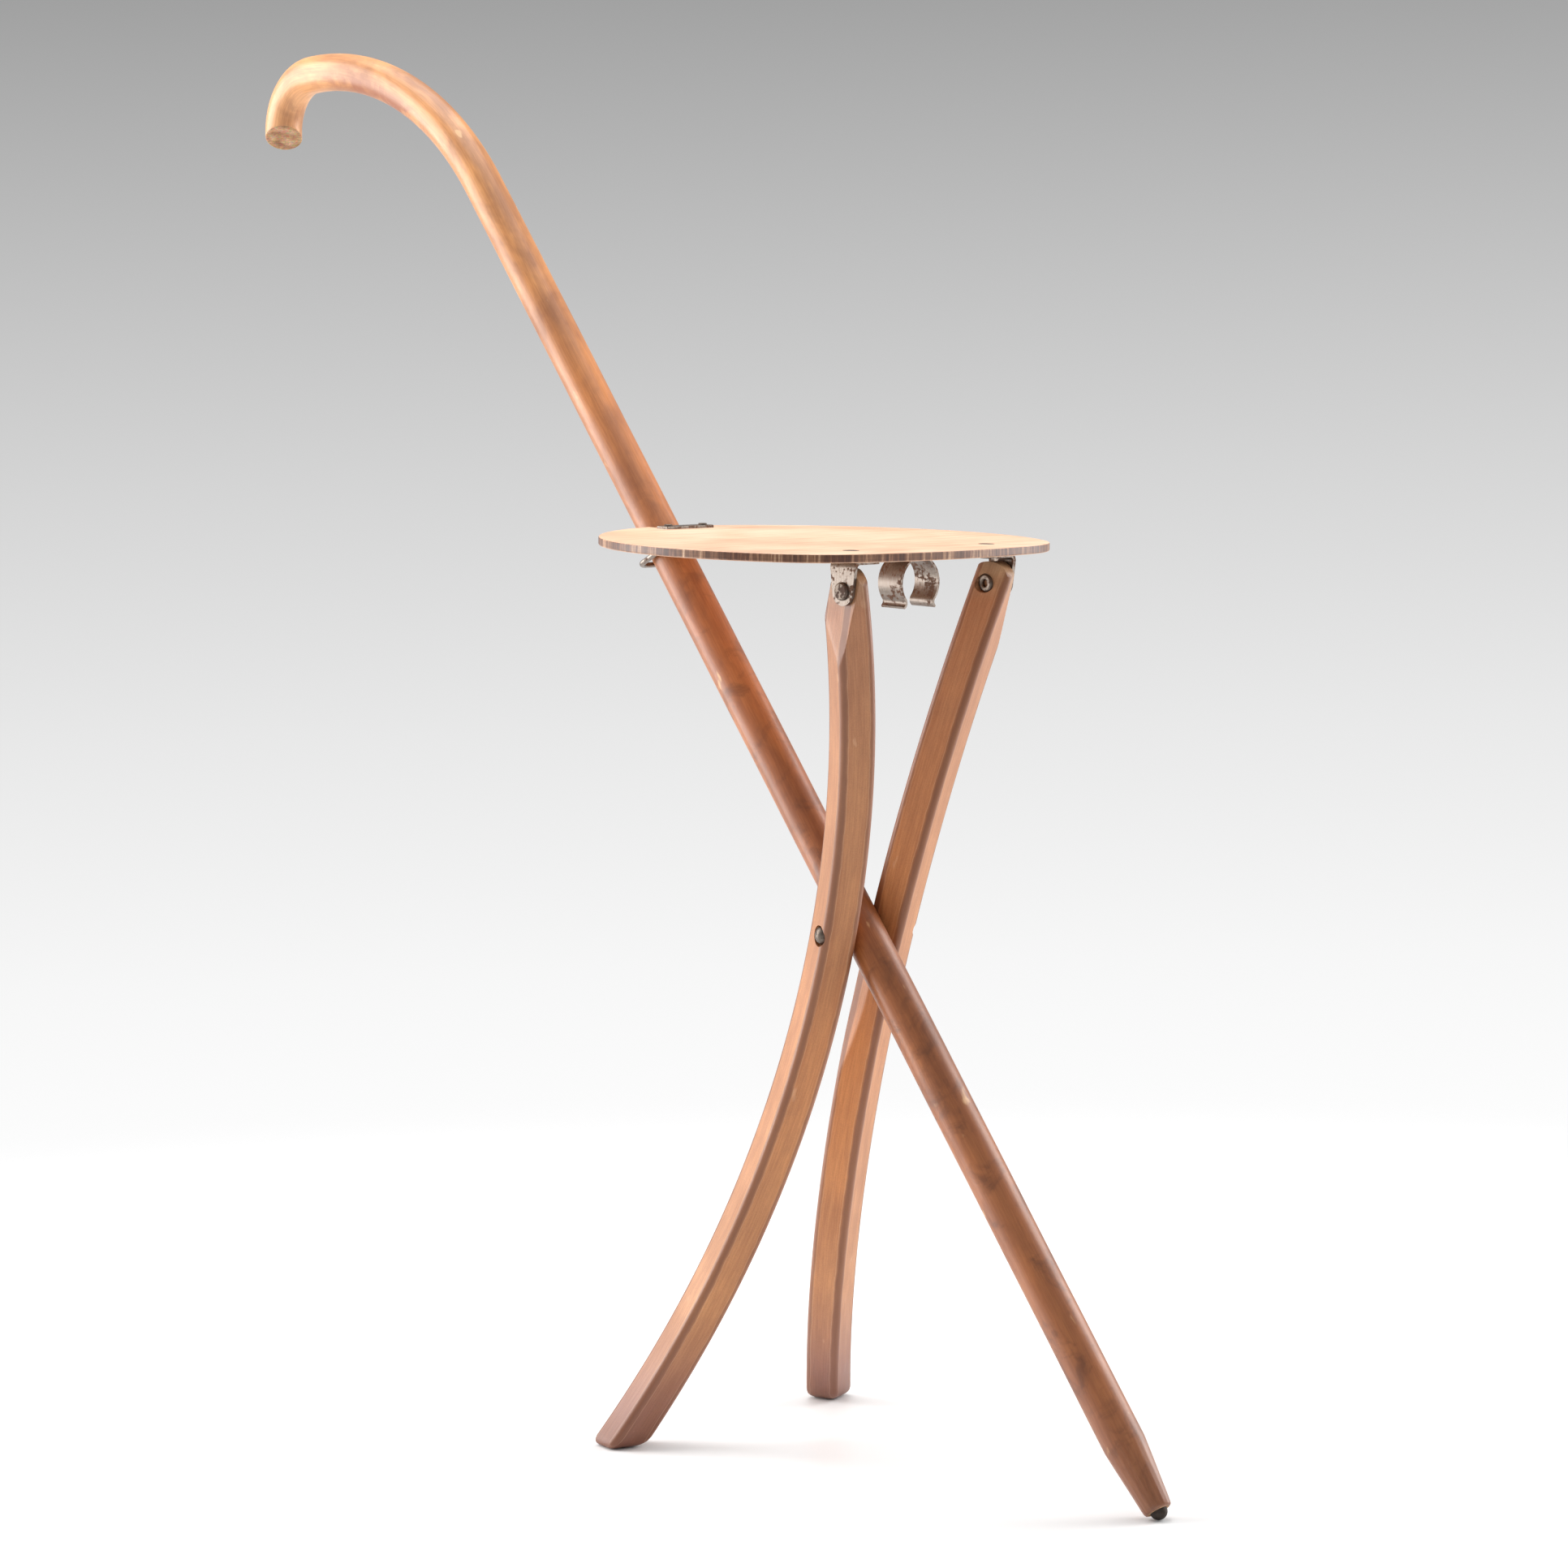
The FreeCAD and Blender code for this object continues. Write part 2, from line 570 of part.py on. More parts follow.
def half_round(sk, radius, width, length, spare_x, spare_y, way):
    """Waste round a rounded end: half round about the origin, then flanks out to a width at a length."""
    r = value_of(radius)
    w = value_of(width) / 2
    h = value_of(length)
    sx = value_of(spare_x)
    sy = value_of(spare_y)
    side = math.acos(r / math.hypot(w, h)) - math.atan2(h, w)
    if way > 0:
        arc = Part.ArcOfCircle(Part.Circle(vec(), vec(0, 0, 1), r), side, math.pi - side)
    else:
        arc = Part.ArcOfCircle(Part.Circle(vec(), vec(0, 0, 1), r), math.pi + side, 2 * math.pi - side)
    round_end = sk.addGeometry(arc, False)
    right_pos, left_pos = (1, 2) if way > 0 else (2, 1)
    touch = vec(math.cos(side) * r, way * math.sin(side) * r)
    mirror_touch = vec(-touch.x, touch.y)
    right = sk.addGeometry(Part.LineSegment(vec(w, -way * h), touch), False)
    left = sk.addGeometry(Part.LineSegment(mirror_touch, vec(-w, -way * h)), False)
    outer = [vec(-w, -way * h), vec(-sx, -way * h), vec(-sx, way * sy), vec(sx, way * sy), vec(sx, -way * h),
             vec(w, -way * h)]
    lines = [sk.addGeometry(Part.LineSegment(a, b), False) for a, b in zip(outer, outer[1:])]
    constrain(sk, "Coincident", [round_end, 3, -1, 1])
    constrain(sk, "Radius", [round_end], "round_radius", radius, r)
    constrain(sk, "Tangent", [right, 2, round_end, right_pos])
    constrain(sk, "Tangent", [left, 1, round_end, left_pos])
    back = "-" if way > 0 else ""
    ahead = "" if way > 0 else "-"
    constrain(sk, "DistanceX", [-1, 1, right, 1], "right_x", f"{width} / 2", w)
    constrain(sk, "DistanceY", [-1, 1, right, 1], "right_y", f"{back}({length})", -way * h)
    constrain(sk, "DistanceX", [-1, 1, left, 2], "left_x", f"-{width} / 2", -w)
    constrain(sk, "DistanceY", [-1, 1, left, 2], "left_y", f"{back}({length})", -way * h)
    constrain(sk, "Coincident", [left, 2, lines[0], 1])
    for here, there in zip(lines, lines[1:]):
        constrain(sk, "Coincident", [here, 2, there, 1])
    constrain(sk, "Coincident", [lines[4], 2, right, 1])
    constrain(sk, "Horizontal", [lines[0]])
    constrain(sk, "Vertical", [lines[1]])
    constrain(sk, "Horizontal", [lines[2]])
    constrain(sk, "Vertical", [lines[3]])
    constrain(sk, "Horizontal", [lines[4]])
    constrain(sk, "DistanceX", [-1, 1, lines[0], 2], "waste_left", f"-({spare_x})", -sx)
    constrain(sk, "DistanceX", [-1, 1, lines[4], 1], "waste_right", f"{spare_x}", sx)
    constrain(sk, "DistanceY", [-1, 1, lines[1], 2], "waste_end", f"{ahead}({spare_y})", way * sy)


def leg_blank(name, side, turn):
    """The bent bar of one leg, longer than needed at both ends."""
    owner = body(name)
    section = sketch(owner, name + "_section", "XY_Plane")
    polygon(section, [
        ("-{leg_width} / 2", "-{leg_bow_radius} - {leg_depth} / 2"),
        ("{leg_width} / 2", "-{leg_bow_radius} - {leg_depth} / 2"),
        ("{leg_width} / 2", "-{leg_bow_radius} + {leg_depth} / 2"),
        ("-{leg_width} / 2", "-{leg_bow_radius} + {leg_depth} / 2"),
    ])
    bend = owner.newObject("PartDesign::Revolution", name + "_bend")
    bend.Profile = section
    bend.ReferenceAxis = (section, ["H_Axis"])
    bend.Midplane = True
    bind(bend, "Angle", "{leg_sweep} * 1deg")
    doc.recompute()
    arrises = [f"Edge{n}" for n, edge in enumerate(bend.Shape.Edges, 1) if isinstance(edge.Curve, Part.Circle)]
    round_edges(owner, name + "_arrises", bend, arrises, "{leg_edge_radius}")
    bind(owner, "Placement", bow_frame(side, turn))
    return owner


below_floor = primitive("Box", "below_floor", place_at("{pivot_place} - 500", "-250", "-200"),
                        Length="1000", Width="500", Height="200")
beside_cane = primitive("Box", "beside_cane",
                        place_at("{pivot_place} - 500", "-({cane_radius} + {leg_cane_clearance})", "-100"),
                        Length="1000", Width="2 * ({cane_radius} + {leg_cane_clearance})", Height="900")
left_face = primitive("Box", "left_face",
                      place_at("{pivot_place} - 100", "{bracket_face} - {sliding_gap}", "{pivot_height}"),
                      Length="400", Width="100", Height="400")
right_face = primitive("Box", "right_face",
                       place_at("{pivot_place} - 100", "{sliding_gap} - {bracket_face} - 100", "{pivot_height}"),
                       Length="400", Width="100", Height="400")

leg_top_form = body("leg_top_form")
leg_top_outline = sketch(leg_top_form, "leg_top_outline", "XZ_Plane")
half_round(leg_top_outline, "{leg_top_radius}", "{leg_top_form_width}", "{leg_top_form_length}",
           "{leg_top_form_width} + 20", "{leg_spare_length} + 60", 1)
pad(leg_top_form, "leg_top_waste", leg_top_outline, "240", symmetric=True)
bind(leg_top_form, "Placement", "placement(vector({pin_place}; 0; {pin_height});"
     " rotation(vector(0; 1; 0); {leg_top_lean} * 1deg))")

pin_hole = primitive("Cylinder", "pin_hole", seat_frame(y="-120", turn=Y_AXIS),
                     Radius="{pin_diameter} / 2 + {running_clearance}", Height="240")
pin_seat = primitive("Cylinder", "pin_seat", seat_frame(y="-{pin_inner_face}", turn=Y_AXIS),
                     Radius="{pin_roll_diameter} / 2 + {seat_cut_clearance}", Height="2 * {pin_inner_face}")
pivot_hole = primitive("Cylinder", "pivot_hole", pivot_frame(y="-80", turn=Y_AXIS),
                       Radius="{pivot_rivet_diameter} / 2 + {rivet_hole_clearance}", Height="160")
leg_waste = fuse("leg_waste", [
    below_floor, beside_cane, left_face, right_face, leg_top_form, pin_hole, pin_seat, pivot_hole,
])
washer_seat = primitive("Cylinder", "washer_seat", pivot_frame(y="{pivot_head_face}", turn=Y_AXIS),
                        Radius="{pivot_washer_diameter} / 2 + {seat_cut_clearance}", Height="30")
head_seat = primitive("Cylinder", "head_seat", pivot_frame(y="-{pivot_head_face}", turn=MINUS_Y_AXIS),
                      Radius="{pivot_head_diameter} / 2 + {seat_cut_clearance}", Height="30")
left_bow = leg_blank("left_leg_bow", "", "{leg_toe}")
left_leg = cut("left_leg", cut("left_leg_shaped", left_bow, leg_waste), washer_seat)
right_bow = leg_blank("right_leg_bow", "-", "180 - {leg_toe}")
right_leg = cut("right_leg", cut("right_leg_shaped", right_bow, leg_waste), head_seat)


# Pivot rivet and its washer

def dome(name, place, diameter, height):
    """A domed rivet head with its flat base on the XY plane of a place."""
    rise = f"((({diameter}) / 2) ^ 2 - ({height}) ^ 2) / (2 * ({height}))"
    made = doc.addObject("Part::Sphere", name)
    bind(made, "Radius", f"{rise} + {height}")
    bind(made, "Angle1", f"asin(({rise}) / ({rise} + {height}))")
    made.Angle2 = 90
    bind(made, "Placement", place(f"-({rise})"))
    return made


rivet_head = dome("rivet_head", lambda down: pivot_frame(
    y=f"-{{pivot_head_face}} - ({down})", turn=MINUS_Y_AXIS),
    "{pivot_head_diameter}", "{pivot_head_height}")
rivet_shank = primitive("Cylinder", "rivet_shank", pivot_frame(y="-{pivot_head_face}", turn=Y_AXIS),
                        Radius="{pivot_rivet_diameter} / 2",
                        Height="2 * {pivot_head_face} + {pivot_washer_thickness}")
rivet_clench = dome("rivet_clench", lambda down: pivot_frame(
    y=f"{{pivot_head_face}} + {{pivot_washer_thickness}} + ({down})", turn=Y_AXIS),
    "{pivot_clench_diameter}", "{pivot_clench_height}")
pivot_rivet = fuse("pivot_rivet", [rivet_head, rivet_shank, rivet_clench])

pivot_rivet_washer = body("pivot_rivet_washer")
washer_outline = sketch(pivot_rivet_washer, "washer_outline", "XY_Plane")
circle(washer_outline, "{pivot_washer_diameter} / 2", tag="outer")
circle(washer_outline, "{pivot_rivet_diameter} / 2 + {rivet_hole_clearance}", tag="inner")
pad(pivot_rivet_washer, "washer_disc", washer_outline, "{pivot_washer_thickness}")
bind(pivot_rivet_washer, "Placement", pivot_frame(y="{pivot_head_face}", turn=Y_AXIS))


# Pins rolled over at their inner ends, and the brackets they carry

pin_start = "({pin_inner_face} - {sliding_gap} - {pin_roll_height})"
pin_end = f"({{bracket_outer}} - {pin_start})"
left_bracket_pin = turned("left_bracket_pin", [
    ("{pin_bore_diameter} / 2", "0"),
    ("{pin_roll_diameter} / 2", "0"),
    ("{pin_roll_diameter} / 2", "{pin_roll_height}"),
    ("{pin_diameter} / 2", "{pin_roll_height}"),
    ("{pin_diameter} / 2", pin_end),
    ("{pin_head_diameter} / 2", pin_end),
    ("{pin_head_diameter} / 2", f"{pin_end} + {{pin_head_height}}"),
    ("0", f"{pin_end} + {{pin_head_height}}"),
    ("0", "{pin_bore_depth}"),
    ("{pin_bore_diameter} / 2", "{pin_bore_depth}"),
], [
    ("{pin_roll_diameter} / 2", "0", "{pin_roll_rounding}"),
    ("{pin_bore_diameter} / 2", "0", "{pin_roll_rounding}"),
    ("{pin_head_diameter} / 2", f"{pin_end} + {{pin_head_height}}", "{pin_head_rounding}"),
], seat_frame(y=pin_start, turn=Y_AXIS))
right_bracket_pin = mirrored("right_bracket_pin", left_bracket_pin)

left_bracket = body("left_bracket")
bracket_profile = sketch(left_bracket, "bracket_profile", "YZ_Plane")
polygon(bracket_profile, [
    ("{bracket_outer}", "-{bracket_width} / 2"),
    ("{bracket_outer}", "{pin_below_board}"),
    ("{bracket_outer} - {bracket_flange_length}", "{pin_below_board}"),
    ("{bracket_outer} - {bracket_flange_length}", "{pin_below_board} - {bracket_thickness}"),
    ("{bracket_face}", "{pin_below_board} - {bracket_thickness}"),
    ("{bracket_face}", "-{bracket_width} / 2"),
])
bracket_strip = pad(left_bracket, "bracket_strip", bracket_profile, "{bracket_top_width}", symmetric=True)
doc.recompute()


def edges_at(feature, direction, **place):
    """Names of the straight edges along a direction whose middles lie at the given coordinates."""
    found = []
    for number, edge in enumerate(feature.Shape.Edges, 1):
        if not isinstance(edge.Curve, Part.Line) or abs(edge.Curve.Direction.dot(direction)) < 0.999:
            continue
        middle = edge.CenterOfMass
        if all(abs(getattr(middle, axis) - value_of(formula)) < 0.01 for axis, formula in place.items()):
            found.append(f"Edge{number}")
    return found


bend_inside = edges_at(bracket_strip, vec(1, 0, 0), y="{bracket_face}",
                       z="{pin_below_board} - {bracket_thickness}")
bracket_bent = round_edges(left_bracket, "bend_inside", bracket_strip, bend_inside, "{bracket_bend_radius}")
doc.recompute()
bend_outside = edges_at(bracket_bent, vec(1, 0, 0), y="{bracket_outer}", z="{pin_below_board}")
bracket_bent = round_edges(left_bracket, "bend_outside", bracket_bent, bend_outside,
                           "{bracket_bend_radius} + {bracket_thickness}")
doc.recompute()
flange_corners = edges_at(bracket_bent, vec(0, 0, 1), y="{bracket_outer} - {bracket_flange_length}")
round_edges(left_bracket, "flange_corners", bracket_bent, flange_corners, "{bracket_corner_radius}")
bracket_outline = sketch(left_bracket, "bracket_outline", "XZ_Plane")
half_round(bracket_outline, "{bracket_width} / 2", "{bracket_top_width}",
           "{pin_below_board} - {bracket_thickness} - {bracket_bend_radius}",
           "{bracket_top_width}", "{bracket_width}", -1)
drill(left_bracket, "bracket_end", bracket_outline)
bracket_pin_hole = sketch(left_bracket, "bracket_pin_hole", "XZ_Plane")
circle(bracket_pin_hole, "{pin_diameter} / 2 + {rivet_hole_clearance}")
drill(left_bracket, "pin_hole_in_plate", bracket_pin_hole)
bracket_rivet_hole = sketch(left_bracket, "bracket_rivet_hole", "XY_Plane")
circle(bracket_rivet_hole, "{board_rivet_diameter} / 2 + {rivet_hole_clearance}",
       "-{bracket_rivet_back}", "{bracket_rivet_side}")
drill(left_bracket, "rivet_hole_in_flange", bracket_rivet_hole)
bind(left_bracket, "Placement", seat_frame())
right_bracket = mirrored("right_bracket", left_bracket)

shank_top = "({board_rivet_clench_height} + {bracket_thickness} + {board_thickness} - {flush_depth})"
board_rivet = turned("board_rivet", [
    ("0", "0"),
    ("{board_rivet_clench_diameter} / 2", "0"),
    ("{board_rivet_clench_diameter} / 2", "{board_rivet_clench_height}"),
    ("{board_rivet_diameter} / 2", "{board_rivet_clench_height}"),
    ("{board_rivet_diameter} / 2", shank_top),
    ("{board_rivet_head_diameter} / 2", shank_top),
    ("{board_rivet_head_diameter} / 2", f"{shank_top} + {{board_rivet_head_height}}"),
    ("0", f"{shank_top} + {{board_rivet_head_height}}"),
], [
    ("{board_rivet_clench_diameter} / 2", "0", "{board_rivet_clench_height} * 0.8"),
], seat_frame("-{bracket_rivet_back}", "{bracket_rivet_side}",
              "{pin_below_board} - {bracket_thickness} - {board_rivet_clench_height}"))
bracket_rivets = pair("bracket_rivets", board_rivet)


# Seat board: a rounded shield of thin plywood with a slot open to the rear for the stick

def shield(sk):
    """Outline of tangent arcs, the same on both sides: nose, flanks, corners and a shallow front."""
    rn, rf, rc, rr = (size("board_" + word + "_radius") for word in ("nose", "flank", "corner", "front"))
    nose_at = vec(-size("board_nose_back"), 0)
    corner_at = vec(-size("board_corner_back"), size("board_corner_side"))
    front_at = vec(corner_at.x - math.sqrt((rr - rc) ** 2 - corner_at.y ** 2), 0)
    gap = nose_at - corner_at
    along = ((rf - rc) ** 2 - (rf - rn) ** 2 + gap.Length ** 2) / (2 * gap.Length)
    unit = vec(gap.x / gap.Length, gap.y / gap.Length)
    flank_at = corner_at + unit * along + vec(-unit.y, unit.x) * math.sqrt((rf - rc) ** 2 - along ** 2)

    def turn(centre, point):
        return math.atan2(point.y - centre.y, point.x - centre.x)

    def arc(centre, radius, start, end):
        ring = Part.Circle(centre, vec(0, 0, 1), radius)
        return sk.addGeometry(Part.ArcOfCircle(ring, start, end), False)

    a_front = turn(front_at, corner_at)
    a_corner = turn(flank_at, corner_at)
    a_nose = turn(flank_at, nose_at)

    def flip(point):
        return vec(point.x, -point.y)

    front = arc(front_at, rr, -a_front, a_front)
    left_corner = arc(corner_at, rc, a_front, a_corner)
    left_flank = arc(flank_at, rf, a_corner, a_nose)
    nose = arc(nose_at, rn, a_nose, 2 * math.pi - a_nose)
    right_flank = arc(flip(flank_at), rf, 2 * math.pi - a_nose, 2 * math.pi - a_corner)
    right_corner = arc(flip(corner_at), rc, 2 * math.pi - a_corner, 2 * math.pi - a_front)
    ring = [front, left_corner, left_flank, nose, right_flank, right_corner]
    for here, there in zip(ring, ring[1:] + ring[:1]):
        constrain(sk, "Tangent", [here, 2, there, 1])
    for geo, word, radius in ((front, "front", rr), (left_corner, "corner", rc), (left_flank, "flank", rf),
                              (nose, "nose", rn)):
        constrain(sk, "Radius", [geo], word + "_radius", "{board_" + word + "_radius}", radius)
    constrain(sk, "Equal", [left_corner, right_corner])
    constrain(sk, "Equal", [left_flank, right_flank])
    constrain(sk, "DistanceX", [-1, 1, nose, 3], "nose_x", "-{board_nose_back}", nose_at.x)
    constrain(sk, "DistanceY", [-1, 1, nose, 3], "nose_y", "0", 0.0)
    for geo, sign, word in ((left_corner, 1, "left"), (right_corner, -1, "right")):
        constrain(sk, "DistanceX", [-1, 1, geo, 3], word + "_corner_x", "-{board_corner_back}", corner_at.x)
        side = "{board_corner_side}" if sign > 0 else "-{board_corner_side}"
        constrain(sk, "DistanceY", [-1, 1, geo, 3], word + "_corner_y", side, sign * corner_at.y)


seat_board = body("seat_board")
board_outline = sketch(seat_board, "board_outline", "XY_Plane")
shield(board_outline)
board_sheet = pad(seat_board, "board_sheet", board_outline, "{board_thickness}")
doc.recompute()
around = [f"Edge{n}" for n, edge in enumerate(board_sheet.Shape.Edges, 1)
          if isinstance(edge.Curve, Part.Circle)]
round_edges(seat_board, "board_arrises", board_sheet, around, "{board_edge_radius}")


def slot(sk):
    """A U with its round end at the front, running out past the rear of the board."""
    r = size("slot_radius")
    x = -size("slot_front") - r
    rear = x - size("board_nose_radius")
    ring = Part.Circle(vec(x, 0), vec(0, 0, 1), r)
    end = sk.addGeometry(Part.ArcOfCircle(ring, -math.pi / 2, math.pi / 2), False)
    left = sk.addGeometry(Part.LineSegment(vec(x, r), vec(rear, r)), False)
    back = sk.addGeometry(Part.LineSegment(vec(rear, r), vec(rear, -r)), False)
    right = sk.addGeometry(Part.LineSegment(vec(rear, -r), vec(x, -r)), False)
    constrain(sk, "Tangent", [end, 2, left, 1])
    constrain(sk, "Coincident", [left, 2, back, 1])
    constrain(sk, "Coincident", [back, 2, right, 1])
    constrain(sk, "Tangent", [right, 2, end, 1])
    constrain(sk, "Horizontal", [left])
    constrain(sk, "Vertical", [back])
    constrain(sk, "Radius", [end], "slot_radius", "{slot_radius}", r)
    constrain(sk, "DistanceX", [-1, 1, end, 3], "slot_x", "-{slot_front} - {slot_radius}", x)
    constrain(sk, "DistanceY", [-1, 1, end, 3], "slot_y", "0", 0.0)
    constrain(sk, "DistanceX", [-1, 1, back, 1], "slot_rear",
              "-{slot_front} - {slot_radius} - {board_nose_radius}", rear)


cane_slot = sketch(seat_board, "cane_slot", "XY_Plane")
slot(cane_slot)
drill(seat_board, "slot_cut", cane_slot)
for side, sign in (("left", ""), ("right", "-")):
    shank_holes = sketch(seat_board, f"{side}_shank_holes", "XY_Plane")
    circle(shank_holes, "{board_rivet_diameter} / 2 + {rivet_hole_clearance}",
           "-{bracket_rivet_back}", sign + "{bracket_rivet_side}", "rivet")
    circle(shank_holes, "{plate_rivet_diameter} / 2 + {rivet_hole_clearance}",
           "-{plate_rivet_back}", sign + "{plate_rivet_spacing} / 2", "plate")
    drill(seat_board, f"{side}_shank_bores", shank_holes)
    head_sinking = sketch(seat_board, f"{side}_head_sinking", "XY_Plane", "{board_thickness}")
    circle(head_sinking, "{board_rivet_head_diameter} / 2 + {rivet_hole_clearance}",
           "-{bracket_rivet_back}", sign + "{bracket_rivet_side}")
    drill(seat_board, f"{side}_head_sink", head_sinking, depth="{flush_depth}")
    staple_holes = sketch(seat_board, f"{side}_staple_holes", "XY_Plane")
    for word, shift in (("front", "+"), ("back", "-")):
        circle(staple_holes, "{staple_wire_diameter} / 2 + {rivet_hole_clearance}",
               f"-{{bail_hinge_back}} {shift} {{staple_half_gap}}", sign + "{staple_side}", word)
    drill(seat_board, f"{side}_staple_bores", staple_holes, reverse=True,
          depth="{board_thickness} - {staple_cover} / 2")
screw_hole = sketch(seat_board, "screw_hole", "XY_Plane")
circle(screw_hole, "{clip_screw_diameter} / 2 + {rivet_hole_clearance}", "-{clip_back}", "0")
drill(seat_board, "screw_bore", screw_hole, reverse=True, depth="{clip_screw_length} + {sliding_gap}")
bind(seat_board, "Placement", seat_frame(z="{pin_below_board}"))


# Spring clip that holds the stick when the stool is folded

clip_start = "-{clip_back} - {clip_width} / 2"
LIP_Y = "{clip_lip_centre} * sin({clip_mouth_angle} * 1deg)"
LIP_Z = "{clip_centre} - {clip_lip_centre} * cos({clip_mouth_angle} * 1deg)"


def curved_strip(name, y, z, start, sweep, middle):
    """Part of a ring of strip about an axis along x; angles run from straight down towards +y."""
    turn = f"{X_AXIS} * rotation(vector(0; 0; 1); ({start}) * 1deg)"
    outside = primitive("Cylinder", name + "_outside", seat_frame(clip_start, y, z, turn),
                        Radius=f"{middle} + {{clip_thickness}} / 2", Height="{clip_width}",
                        Angle=f"({sweep}) * 1deg")
    inside = primitive("Cylinder", name + "_inside", seat_frame(clip_start + " - 1", y, z, turn),
                       Radius=f"{middle} - {{clip_thickness}} / 2", Height="{clip_width} + 2")
    return cut(name, outside, inside)


clip_loop = curved_strip("clip_loop", "0", "{clip_centre}", "{clip_mouth_angle}",
                         "360 - 2 * {clip_mouth_angle}", "{clip_middle_radius}")
clip_lip = curved_strip("clip_lip", LIP_Y, LIP_Z, "180 + {clip_mouth_angle}",
                        "{clip_lip_turn}", "{clip_lip_radius}")
clip_strip = fuse("clip_strip", [clip_loop, clip_lip, mirrored("clip_lip_twin", clip_lip)])
clip_hole = primitive("Cylinder", "clip_hole", seat_frame("-{clip_back}"),
                      Radius="{clip_screw_diameter} / 2 + {rivet_hole_clearance}",
                      Height="{pin_below_board} + 5")
spring_clip = cut("spring_clip", clip_strip, clip_hole)

screw_low = "{pin_below_board} - {clip_thickness} - {clip_screw_head_height}"
screw_head_blank = primitive("Cylinder", "screw_head_blank", seat_frame("-{clip_back}", "0", screw_low),
                             Radius="{clip_screw_head_diameter} / 2", Height="{clip_screw_head_height}")
crown_inside = primitive("Cylinder", "crown_inside", seat_frame(clip_start, "0", "{clip_centre}", X_AXIS),
                         Radius="{clip_inner_radius} - 0.02", Height="{clip_width}")
screw_head = doc.addObject("Part::Common", "screw_head")
screw_head.Base = screw_head_blank
screw_head.Tool = crown_inside
screw_shank = primitive("Cylinder", "screw_shank", seat_frame("-{clip_back}", "0", screw_low),
                        Radius="{clip_screw_diameter} / 2",
                        Height="{clip_screw_head_height} + {clip_thickness} + {clip_screw_length}")
spring_clip_screw = fuse("spring_clip_screw", [screw_head, screw_shank])


# Bail: a rod bent into a U that hangs behind the stick, and the two staples it turns in

bail = body("bail")
bail_line = sketch(bail, "bail_line", "XY_Plane")
bent_path(bail_line, [
    ("0", "{bail_half_width} + {bail_trunnion_length}"),
    ("0", "{bail_half_width}"),
    ("-{bail_arm_length}", "{bail_half_width}"),
    ("-{bail_arm_length}", "-{bail_half_width}"),
    ("0", "-{bail_half_width}"),
    ("0", "-{bail_half_width} - {bail_trunnion_length}"),
], "{bail_corner_radius}")
bail_section = sketch(bail, "bail_section", "XZ_Plane", "-{bail_half_width} - {bail_trunnion_length}")
circle(bail_section, "{bail_rod_diameter} / 2")
pipe(bail, "bail_rod", bail_section, bail_line)
bind(bail, "Placement", seat_frame("-{bail_hinge_back}", "0", "{pin_below_board} - {bail_hinge_drop}",
                                   "rotation(vector(0; 1; 0); -{bail_rest_angle} * 1deg)"))

STAPLE_TOP = "{bail_hinge_drop} + {board_thickness} - {staple_cover}"
staple = body("staple")
staple_line = sketch(staple, "staple_line", "XZ_Plane", "-{staple_side}")


def staple_path(sk):
    half = value_of("{staple_half_gap}")
    top = value_of(STAPLE_TOP)
    left = sk.addGeometry(Part.LineSegment(vec(-half, top), vec(-half, 0)), False)
    ring = Part.Circle(vec(), vec(0, 0, 1), half)
    crown = sk.addGeometry(Part.ArcOfCircle(ring, math.pi, 2 * math.pi), False)
    right = sk.addGeometry(Part.LineSegment(vec(half, 0), vec(half, top)), False)
    constrain(sk, "Tangent", [left, 2, crown, 1])
    constrain(sk, "Tangent", [crown, 2, right, 1])
    constrain(sk, "Coincident", [crown, 3, -1, 1])
    constrain(sk, "Radius", [crown], "half_gap", "{staple_half_gap}", half)
    constrain(sk, "Vertical", [left])
    constrain(sk, "Vertical", [right])
    constrain(sk, "DistanceY", [-1, 1, left, 1], "left_top", STAPLE_TOP, top)
    constrain(sk, "DistanceY", [-1, 1, right, 2], "right_top", STAPLE_TOP, top)


staple_path(staple_line)
staple_section = sketch(staple, "staple_section", "XY_Plane", STAPLE_TOP)
circle(staple_section, "{staple_wire_diameter} / 2", "-{staple_half_gap}", "{staple_side}")
pipe(staple, "staple_wire", staple_section, staple_line)
bind(staple, "Placement", seat_frame("-{bail_hinge_back}", "0", "{pin_below_board} - {bail_hinge_drop}"))
bail_staples = pair("bail_staples", staple)


# Wear plate in front of the slot, with its two rivets

cane_plate = body("cane_plate")
plate_outline = sketch(cane_plate, "plate_outline", "XY_Plane")
polygon(plate_outline, [
    ("-{plate_rear}", "-{plate_length} / 2"),
    ("-{plate_front}", "-{plate_length} / 2"),
    ("-{plate_front}", "{plate_length} / 2"),
    ("-{plate_rear}", "{plate_length} / 2"),
])
circle(plate_outline, "{plate_rivet_diameter} / 2 + {rivet_hole_clearance}",
       "-{plate_rivet_back}", "{plate_rivet_spacing} / 2", "left")
circle(plate_outline, "{plate_rivet_diameter} / 2 + {rivet_hole_clearance}",
       "-{plate_rivet_back}", "-{plate_rivet_spacing} / 2", "right")
plate_strip = pad(cane_plate, "plate_strip", plate_outline, "{plate_thickness}")
doc.recompute()
plate_arrises = [f"Edge{n}" for n, edge in enumerate(plate_strip.Shape.Edges, 1)
                 if isinstance(edge.Curve, Part.Line)
                 and abs(edge.CenterOfMass.z - size("plate_thickness")) < 0.01]
round_edges(cane_plate, "plate_rounding", plate_strip, plate_arrises, "{plate_edge_radius}")
bind(cane_plate, "Placement", seat_frame(z="{board_top}"))

